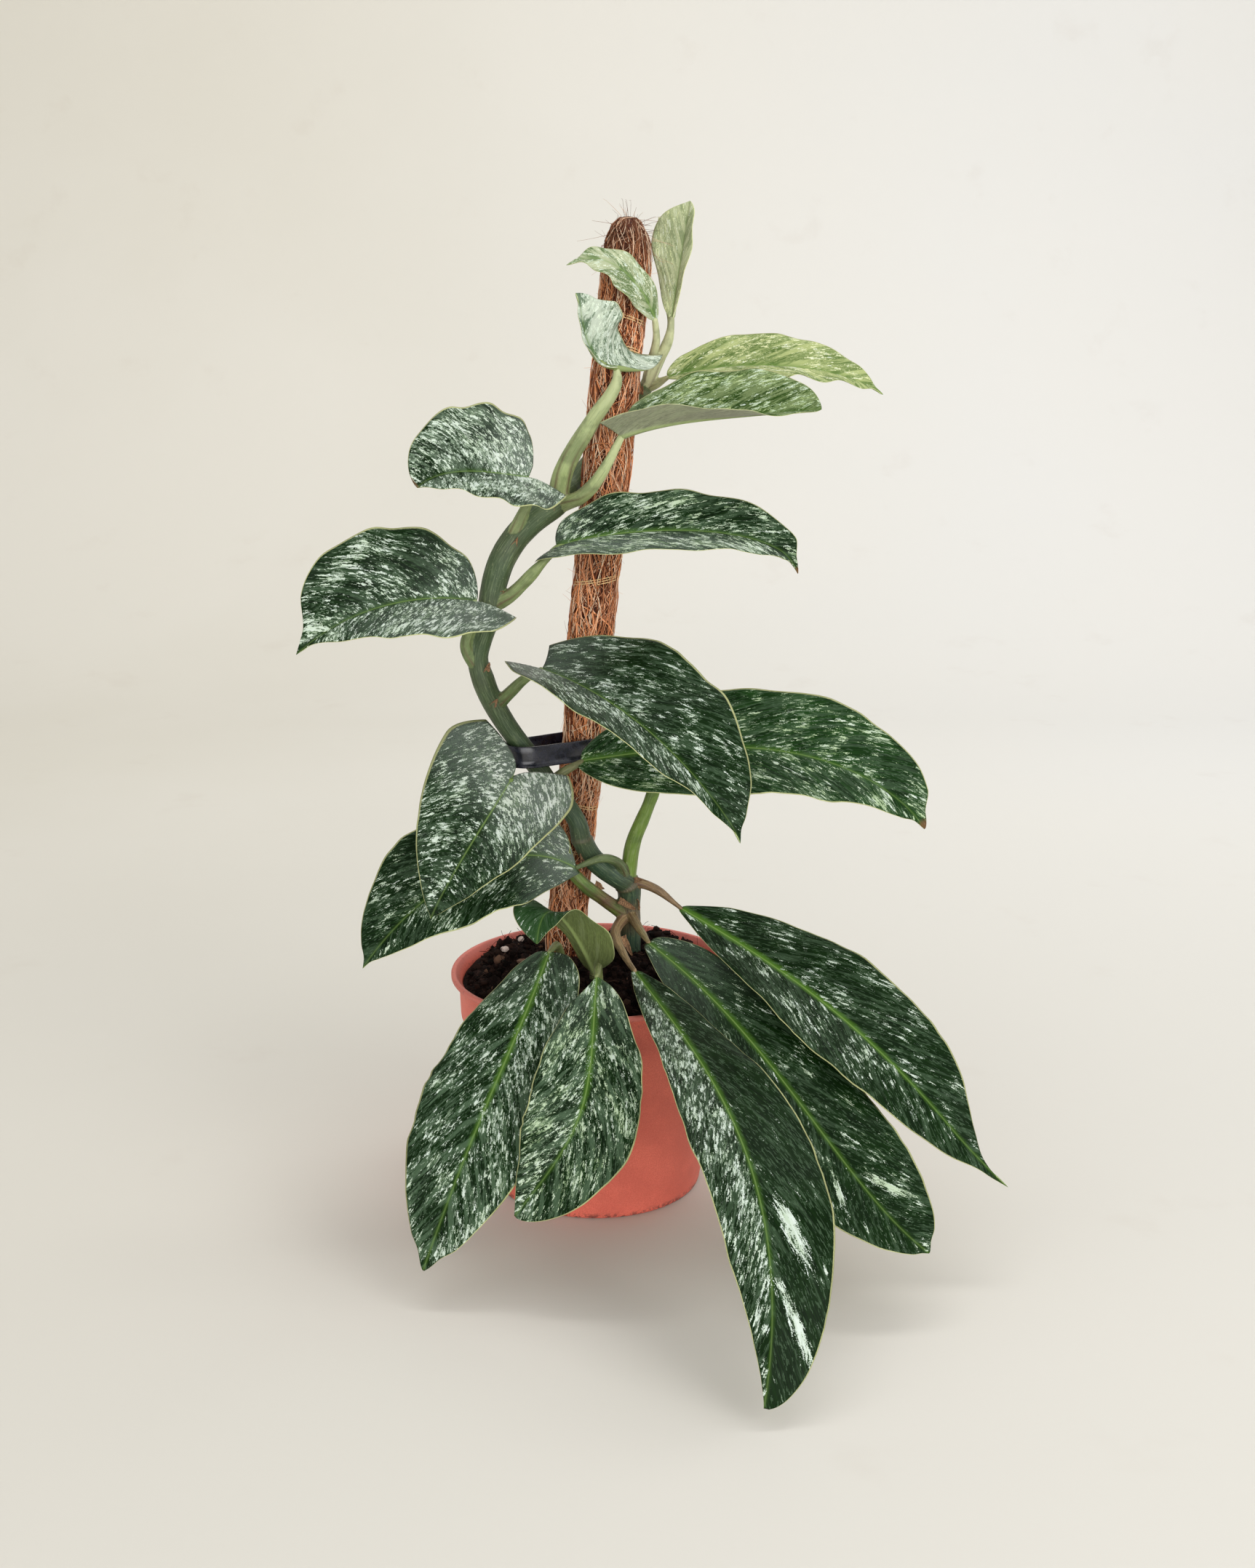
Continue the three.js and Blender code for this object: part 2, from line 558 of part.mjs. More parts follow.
function makeSoil(stems) {
  const wallGap = clearance;
  const topRadius = collarTopRadius - potWall - wallGap - 0.35;
  const innerShoulder = shoulderRadius - potWall - wallGap;
  const rings = [
    levelCircle(potBaseRadius - potWall - 1.6, potFloor + wallGap),
    levelCircle(potBaseRadius - potWall, potFloor + 2.2),
    levelCircle(innerShoulder, shoulderHeight),
    levelCircle(innerShoulder + collarStep, shoulderHeight + collarStep + 0.6),
  ];
  for (const share of [...soilRings].reverse()) {
    const ring = levelCircle(topRadius * share, 0);
    for (const place of ring) place.z = soilHeight(place.x, place.y);
    rings.push(ring);
  }
  const floorCentre = new THREE.Vector3(0, 0, potFloor + wallGap);
  let soil = toBody(loft(rings, floorCentre, new THREE.Vector3(0, 0, soilHeight(0, 0))));
  soil = soil.subtract(toBody(makePoleHole()));
  for (const stem of stems) soil = soil.subtract(toBody(holeCutter(stem.path, stem.sides, clearance)));
  return fromBody(soil);
}

function makePole(stops, top, grow) {
  const across = new THREE.Vector3(1, 0, 0);
  const up = new THREE.Vector3(0, 1, 0);
  const rings = stops.map((stop) => circle(point(stop.at), across, up, stop.radius + grow, poleSides));
  return loft(rings, point(stops[0].at), point(top));
}

function makePoleHole() {
  const foot = polePath[0];
  const deeper = { at: [foot.at[0], foot.at[1], foot.at[2] - clearance], radius: foot.radius };
  const above = polePath[2];
  return makePole([deeper, ...polePath.slice(0, 3)], above.at, clearance);
}

// Outline around two circles of unlike size
function loopOutline(poleRadius, stemRadius) {
  const dx = clipStemCentre[0] - clipPoleCentre[0];
  const dy = clipStemCentre[1] - clipPoleCentre[1];
  const heading = Math.atan2(dy, dx);
  const opening = Math.acos((poleRadius - stemRadius) / Math.hypot(dx, dy));
  const outline = [];
  const addArc = (centre, radius, from, to) => {
    for (let step = 0; step <= clipArcSteps; step += 1) {
      const angle = from + ((to - from) * step) / clipArcSteps;
      outline.push([centre[0] + radius * Math.cos(angle), centre[1] + radius * Math.sin(angle)]);
    }
  };
  addArc(clipPoleCentre, poleRadius, heading + opening, heading + 2 * Math.PI - opening);
  addArc(clipStemCentre, stemRadius, heading - opening, heading + opening);
  return outline;
}

function makeClip() {
  const outerRing = (grow, height) => loopOutline(clipPoleInside + grow, clipStemInside + grow)
    .map(([x, y]) => new THREE.Vector3(x, y, height));
  const top = clipBottom + clipHeight;
  const band = clipWall + clipBandReach;
  const rings = [
    outerRing(0, clipBottom),
    outerRing(band, clipBottom),
    outerRing(band, clipBottom + clipBandHeight),
    outerRing(clipWall, clipBottom + clipBandHeight + clipBandReach),
    outerRing(clipWall, top - 0.4),
    outerRing(clipWall - 0.4, top),
    outerRing(0, top),
  ];
  const sides = rings[0].length;
  const points = rings.flat();
  const faces = [];
  for (let ring = 0; ring < rings.length; ring += 1) {
    const following = (ring + 1) % rings.length;
    for (let side = 0; side < sides; side += 1) {
      const next = (side + 1) % sides;
      const a = ring * sides + side;
      const b = ring * sides + next;
      const c = following * sides + next;
      const d = following * sides + side;
      faces.push([a, b, c], [a, c, d]);
    }
  }
  return closedGeometry(points, faces);
}

// Main stem with everything that grows out of it, as one body
function makeClimbingStem() {
  let stem = toBody(limb(stemPath, stemSides, true));
  stem = stem.add(toBody(limb(growingTip, stalkSides, true)));
  stem = stem.add(toBody(limb(hiddenStalk, stalkSides, true)));
  for (const leaf of leaves) {
    if (!leaf.ownStalk) stem = stem.add(toBody(limb(stalkPath(leaf), stalkSides, true)));
  }
  return fromBody(stem);
}

function makeGrain(grain) {
  const ball = new THREE.IcosahedronGeometry(1, 1);
  ball.deleteAttribute("normal");
  ball.deleteAttribute("uv");
  const geometry = mergeVertices(ball, mergeDistance);
  const place = geometry.attributes.position;
  for (let index = 0; index < place.count; index += 1) {
    const spot = new THREE.Vector3().fromBufferAttribute(place, index);
    const swell = 1 + perliteRoughness * Math.sin(7 * spot.x + 5 * spot.y * grain.turn + 9 * spot.z);
    spot.multiplyScalar(swell).multiply(point(grain.size));
    place.setXYZ(index, spot.x, spot.y, spot.z);
  }
  geometry.rotateZ(grain.turn);
  geometry.translate(...grain.at);
  return geometry;
}

function makeBark() {
  const geometry = new THREE.BoxGeometry(...barkSize, 4, 1, 1);
  const place = geometry.attributes.position;
  for (let index = 0; index < place.count; index += 1) {
    const reach = Math.abs(place.getX(index)) / (barkSize[0] / 2);
    const narrow = 1 - (1 - barkTaper) * reach * reach;
    place.setY(index, place.getY(index) * narrow);
    place.setZ(index, place.getZ(index) * narrow);
  }
  geometry.deleteAttribute("normal");
  geometry.deleteAttribute("uv");
  geometry.rotateX(barkTurn[0]);
  geometry.rotateY(barkTurn[1]);
  geometry.rotateZ(barkTurn[2]);
  geometry.translate(...barkAt);
  return mergeVertices(geometry, mergeDistance);
}

// Assembly

const plant = new THREE.Group();
plant.name = "potted_climber";

function addPiece(name, geometry, color, roughness) {
  const material = new THREE.MeshStandardMaterial({ color, roughness, metalness: 0 });
  const piece = new THREE.Mesh(geometry, material);
  piece.name = name;
  plant.add(piece);
}

const ownStalks = leaves.filter((leaf) => leaf.ownStalk);
const plantedStems = [
  { path: stemPath.slice(0, 3), sides: stemSides },
  ...ownStalks.map((leaf) => ({ path: stalkPath(leaf), sides: stalkSides })),
];

addPiece("pot", makePot(), 0xb45a50, 0.75);
addPiece("soil", makeSoil(plantedStems), 0x1e1514, 0.75);
addPiece("coir_pole", makePole(polePath, poleTop, 0), 0x9a5c40, 0.75);
addPiece("pole_clip", makeClip(), 0x10101a, 0.2);
addPiece("climbing_stem", makeClimbingStem(), 0x5d7349, 0.4);
for (const leaf of ownStalks) {
  addPiece(leaf.ownStalk, limb(stalkPath(leaf), stalkSides, true), 0x84905c, 0.4);
}
for (const leaf of leaves) {
  addPiece(leaf.name, makeBlade(leaf), leaf.color, 0.4);
}
for (const grain of perliteGrains) {
  addPiece(grain.name, makeGrain(grain), 0xdcc8be, 0.75);
}
addPiece("bark_chip", makeBark(), 0x5a4034, 0.75);

export default plant;
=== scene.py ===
import math
from itertools import product

import bmesh
import bpy
import numpy as np
from mathutils import Euler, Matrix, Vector, kdtree


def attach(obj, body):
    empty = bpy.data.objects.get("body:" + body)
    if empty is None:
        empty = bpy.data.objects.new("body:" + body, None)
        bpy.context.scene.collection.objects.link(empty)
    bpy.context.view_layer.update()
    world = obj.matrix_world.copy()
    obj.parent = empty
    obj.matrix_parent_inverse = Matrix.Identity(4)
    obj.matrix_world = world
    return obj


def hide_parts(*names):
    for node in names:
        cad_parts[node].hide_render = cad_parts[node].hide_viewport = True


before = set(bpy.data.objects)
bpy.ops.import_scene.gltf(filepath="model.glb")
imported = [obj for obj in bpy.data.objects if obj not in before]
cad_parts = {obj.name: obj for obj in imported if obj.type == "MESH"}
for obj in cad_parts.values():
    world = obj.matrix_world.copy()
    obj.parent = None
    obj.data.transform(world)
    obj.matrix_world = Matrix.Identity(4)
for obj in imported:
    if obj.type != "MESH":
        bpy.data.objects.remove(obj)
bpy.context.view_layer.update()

mm = 0.001
random = np.random.default_rng(41)


# Camera: the viewing angle of the photo, worked out from the pot's rim and foot ellipses
camera = {
    "place": (0.018, -0.980, 0.472),
    "pitchDown": 13.3,
    "imageHeight": 2156,
    "focalPixels": 2420,
    "sensor": 36.0,
}


def makeCamera(spec):
    lens = bpy.data.cameras.new("viewCamera")
    lens.sensor_fit = "VERTICAL"
    lens.sensor_height = spec["sensor"]
    lens.sensor_width = spec["sensor"]
    lens.lens = spec["sensor"] * spec["focalPixels"] / spec["imageHeight"]
    lens.clip_end = 30
    holder = bpy.data.objects.new("viewCamera", lens)
    holder.location = spec["place"]
    holder.rotation_euler = Euler((math.radians(90 - spec["pitchDown"]), 0, 0))
    bpy.context.scene.collection.objects.link(holder)
    bpy.context.scene.camera = holder


makeCamera(camera)
print("camera placed")


# Shader helper: short calls that build a node tree
def rgb(red, green, blue):
    # bytes as a screen shows them, to the linear values that shaders use
    shown = [part / 255 for part in (red, green, blue)]
    return tuple(c / 12.92 if c <= 0.04045 else ((c + 0.055) / 1.055) ** 2.4 for c in shown) + (1.0,)


class Graph:
    def __init__(self, name):
        self.material = bpy.data.materials.new(name)
        self.material.use_nodes = True
        self.tree = self.material.node_tree
        self.tree.nodes.clear()

    def put(self, socket, value):
        if isinstance(value, bpy.types.NodeSocket):
            self.tree.links.new(value, socket)
        else:
            # colours are given as bytes
            socket.default_value = rgb(*value) if socket.type == "RGBA" else value

    def node(self, kind, inputs=None, **settings):
        made = self.tree.nodes.new("ShaderNode" + kind)
        for key, value in settings.items():
            setattr(made, key, value)
        for key, value in (inputs or {}).items():
            self.put(made.inputs[key], value)
        return made

    def math(self, operation, *values):
        return self.node("Math", dict(enumerate(values)), operation=operation).outputs[0]

    def line(self, value, slope, base):
        return self.math("MULTIPLY_ADD", value, slope, base)

    def add(self, a, b):
        return self.math("ADD", a, b)

    def times(self, a, b):
        return self.math("MULTIPLY", a, b)

    def squares(self, a, b):
        return self.add(self.times(a, a), self.times(b, b))

    def least(self, a, b):
        return self.math("MINIMUM", a, b)

    def most(self, a, b):
        return self.math("MAXIMUM", a, b)

    def fit(self, value, low=0.3, high=0.7, start=0.0, end=1.0):
        # soft step; the usual low and high are those of a noise
        inputs = {"Value": value, "From Min": low, "From Max": high, "To Min": start, "To Max": end}
        return self.node("MapRange", inputs, interpolation_type="SMOOTHSTEP").outputs["Result"]

    def mix(self, share, a, b):
        return self.node("Mix", {0: share, 6: a, 7: b}, data_type="RGBA").outputs[2]

    def over(self, tone, share, *factors):
        # lays a tone over the colour so far
        for factor in factors:
            share = self.times(share, factor)
        self.color = self.mix(share, self.color, tone)

    def scaled(self, vector, x, y, z=1.0, shift=(0.0, 0.0, 0.0)):
        inputs = {0: vector, 1: (x, y, z), 2: shift}
        return self.node("VectorMath", inputs, operation="MULTIPLY_ADD").outputs[0]

    def noise(self, vector, scale=1.0, detail=3.0, rough=0.55, warp=0.0, flat=False, color=False):
        inputs = {"Vector": vector, "Scale": scale, "Detail": detail, "Roughness": rough, "Distortion": warp}
        made = self.node("TexNoise", inputs, noise_dimensions="2D" if flat else "3D")
        return made.outputs["Color" if color else "Fac"]

    def chips(self, vector):
        # angular cells, each with random numbers of its own
        made = self.node("TexVoronoi", {"Vector": vector, "Scale": 1.0}, voronoi_dimensions="2D")
        return self.split(made.outputs["Color"])

    def cellEdges(self, vector, scale):
        inputs = {"Vector": vector, "Scale": scale}
        return self.node("TexVoronoi", inputs, feature="DISTANCE_TO_EDGE").outputs["Distance"]

    def uv(self, name):
        return self.node("UVMap", uv_map=name).outputs["UV"]

    def split(self, vector):
        return self.node("SeparateXYZ", {0: vector}).outputs

    def place(self):
        # position on the object in millimetres
        return self.scaled(self.node("TexCoord").outputs["Object"], 1000, 1000, 1000)

    def value(self, name, kind="Fac"):
        return self.node("Attribute", attribute_name=name).outputs[kind]

    def bump(self, height, depth, strength=1.0, after=None):
        inputs = {"Height": height, "Distance": depth, "Strength": strength}
        if after is not None:
            inputs["Normal"] = after
        return self.node("Bump", inputs).outputs["Normal"]

    def finish(self, roughness, normal, **extras):
        inputs = {"Base Color": self.color, "Roughness": roughness, "Normal": normal}
        for key, value in extras.items():
            inputs[key.replace("_", " ")] = value
        surface = self.node("BsdfPrincipled", inputs)
        output = self.node("OutputMaterial")
        self.tree.links.new(surface.outputs[0], output.inputs["Surface"])
        return self.material


# Mesh helpers
def softNoise(points, size, seed=0):
    # smooth random field from about -1 to 1, with lumps of the given size
    spot = np.asarray(points) / size + 17.31 * (seed + 1)
    cell = np.floor(spot).astype(np.int64)
    part = spot - cell
    fade = part * part * (3 - 2 * part)
    total = np.zeros(len(spot))
    for corner in product((0, 1), repeat=3):
        key = cell + np.array(corner)
        mixed = (key[:, 0] * 73856093) ^ (key[:, 1] * 19349663) ^ (key[:, 2] * 83492791)
        mixed = mixed & 0xFFFFFF
        mixed = (mixed * 1103515245 + 12345) & 0x7FFFFFFF
        mixed = (mixed ^ (mixed >> 13)) & 0xFFFF
        weight = np.prod(np.where(np.array(corner) == 1, fade, 1 - fade), axis=1)
        total += weight * (mixed / 32767.5 - 1)
    return total


def unit(vectors):
    return vectors / np.maximum(np.linalg.norm(vectors, axis=-1, keepdims=True), 1e-12)


def addValues(mesh, values):
    # numbers or vectors per point, for the shaders
    for key, numbers in values.items():
        numbers = np.asarray(numbers, dtype=np.float32)
        isVector = numbers.ndim == 2
        layer = mesh.attributes.new(key, "FLOAT_VECTOR" if isVector else "FLOAT", "POINT")
        layer.data.foreach_set("vector" if isVector else "value", numbers.ravel())


def shadeSmooth(mesh):
    mesh.polygons.foreach_set("use_smooth", np.ones(len(mesh.polygons), dtype=bool))


def meshVectors(mesh, key):
    # places or normals of all the points of a mesh
    found = np.empty(len(mesh.vertices) * 3)
    mesh.vertices.foreach_get(key, found)
    return found.reshape(-1, 3)


def makePiece(name, points, faces, materials, uvs=None, values=None, faceMaterial=None):
    # points in millimetres; uvs and values are given per point
    mesh = bpy.data.meshes.new(name)
    faces = faces.tolist() if isinstance(faces, np.ndarray) else faces
    mesh.from_pydata((np.asarray(points) * mm).tolist(), [], faces)
    for material in materials:
        mesh.materials.append(material)
    corners = np.empty(len(mesh.loops), dtype=np.int32)
    mesh.loops.foreach_get("vertex_index", corners)
    for key, pairs in (uvs or {}).items():
        layer = mesh.uv_layers.new(name=key)
        layer.data.foreach_set("uv", np.asarray(pairs, dtype=np.float32)[corners].ravel())
    addValues(mesh, values or {})
    if faceMaterial is not None:
        mesh.polygons.foreach_set("material_index", np.asarray(faceMaterial, dtype=np.int32))
    shadeSmooth(mesh)
    mesh.update()
    piece = bpy.data.objects.new(name, mesh)
    bpy.context.scene.collection.objects.link(piece)
    return piece


def gridFaces(rows, columns, wrap=False):
    # quads of a grid stored row by row; wrap joins the last column to the first
    across = np.arange(columns if wrap else columns - 1)
    row = np.arange(rows - 1)[:, None] * columns
    a = row + across
    b = row + (across + 1) % columns
    return np.stack([a, b, b + columns, a + columns], axis=-1).reshape(-1, 4)


def copiedFaces(faces, count, size):
    # the faces of one body of so many points, for many copies stored one after another
    return (faces[None] + (np.arange(count) * size)[:, None, None]).reshape(-1, faces.shape[1])


def fullTurn(sides):
    return np.linspace(0, 2 * math.pi, sides, endpoint=False)


def anyTurn(count):
    return random.random(count) * 2 * math.pi


def closedRings(points, rows, sides, foot, head):
    # rings stored row by row, with a fan to a point at each end
    faces = gridFaces(rows, sides, wrap=True).tolist()
    start = len(points)
    last = (rows - 1) * sides
    for side in range(sides):
        following = (side + 1) % sides
        faces.append((start, following, side))
        faces.append((start + 1, last + side, last + following))
    return np.vstack([points, foot, head]), faces


def applied(piece, *modifiers):
    # bakes modifiers into the mesh
    for kind, settings in modifiers:
        modifier = piece.modifiers.new(kind, kind)
        for key, value in settings.items():
            setattr(modifier, key, value)
    graph = bpy.context.evaluated_depsgraph_get()
    baked = bpy.data.meshes.new_from_object(piece.evaluated_get(graph))
    piece.modifiers.clear()
    piece.data = baked


def stands(piece, slot, *nodes):
    # the piece takes the place of CAD nodes, or only rides along
    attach(piece, "root")
    if nodes:
        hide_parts(*nodes)


# Paths: the smooth curve through the listed points that the stem and stalks follow
def smoothPath(stops, steps):
    # centripetal curve through (x, y, z, radius) rows
    stops = np.asarray(stops, dtype=float)
    places = stops[:, :3]
    before = 2 * places[0] - places[1]
    after = 2 * places[-1] - places[-2]
    padded = np.vstack([before, places, after])
    centres = []
    radii = []
    for index in range(len(places) - 1):
        p0, p1, p2, p3 = padded[index:index + 4]
        gaps = [max(np.linalg.norm(b - a) ** 0.5, 1e-4) for a, b in ((p0, p1), (p1, p2), (p2, p3))]
        d0, d1, d2 = gaps
        m1 = ((p1 - p0) / d0 - (p2 - p0) / (d0 + d1) + (p2 - p1) / d1) * d1
        m2 = ((p2 - p1) / d1 - (p3 - p1) / (d1 + d2) + (p3 - p2) / d2) * d1
        last = index == len(places) - 2
        for step in range(steps + 1 if last else steps):
            t = step / steps
            c2 = -3 * p1 + 3 * p2 - 2 * m1 - m2
            c3 = 2 * p1 - 2 * p2 + m1 + m2
            centres.append(p1 + m1 * t + c2 * t * t + c3 * t ** 3)
            radii.append(stops[index, 3] * (1 - t) + stops[index + 1, 3] * t)
    return np.array(centres), np.array(radii)


def distances(centres):
    # length of the path up to each of its points
    return np.concatenate([[0], np.cumsum(np.linalg.norm(np.diff(centres, axis=0), axis=1))])


def between(spots, lengths, table):
    # rows of a table, read off at the given lengths
    return np.stack([np.interp(spots, lengths, column) for column in table.T], axis=-1)


def tangents(centres):
    return unit(np.gradient(centres, axis=0))


def crossFrames(along):
    # side and up vectors that turn as little as possible along the path
    side = np.array([0.0, 1.0, 0.0])
    if abs(along[0] @ side) > 0.9:
        side = np.array([1.0, 0.0, 0.0])
    sides = []
    for direction in along:
        side = side - (side @ direction) * direction
        side = side / np.linalg.norm(side)
        sides.append(side)
    sides = np.array(sides)
    return sides, np.cross(along, sides)


def tube(centres, radii, sides, rounded=0.35):
    # closed limb: rings along the path and a point at each end
    along = tangents(centres)
    across, up = crossFrames(along)
    angle = fullTurn(sides)
    ring = across[:, None] * np.cos(angle)[None, :, None] + up[:, None] * np.sin(angle)[None, :, None]
    points = (centres[:, None] + ring * radii[:, None, None]).reshape(-1, 3)
    foot = centres[0] - along[0] * radii[0] * rounded
    head = centres[-1] + along[-1] * radii[-1] * rounded
    return closedRings(points, len(centres), sides, foot, head)


def joined(bodies):
    # several (points, faces) as one
    points = []
    faces = []
    count = 0
    for bodyPoints, bodyFaces in bodies:
        points.append(bodyPoints)
        faces.extend([tuple(corner + count for corner in face) for face in bodyFaces])
        count += len(bodyPoints)
    return np.vstack(points), faces


def threads(paths, radius, sides=3):
    # many thin strands at once: paths is strands x steps x 3, radius is strands x steps
    count, steps, _ = paths.shape
    along = unit(np.gradient(paths, axis=1))
    helper = np.where(np.abs(along[..., 2:3]) > 0.9, np.array([1.0, 0, 0]), np.array([0, 0, 1.0]))
    across = unit(np.cross(along, helper))
    up = np.cross(along, across)
    angle = fullTurn(sides)
    ring = across[:, :, None] * np.cos(angle)[:, None] + up[:, :, None] * np.sin(angle)[:, None]
    points = (paths[:, :, None] + ring * radius[:, :, None, None]).reshape(-1, 3)
    return points, copiedFaces(gridFaces(steps, sides, wrap=True), count, steps * sides)


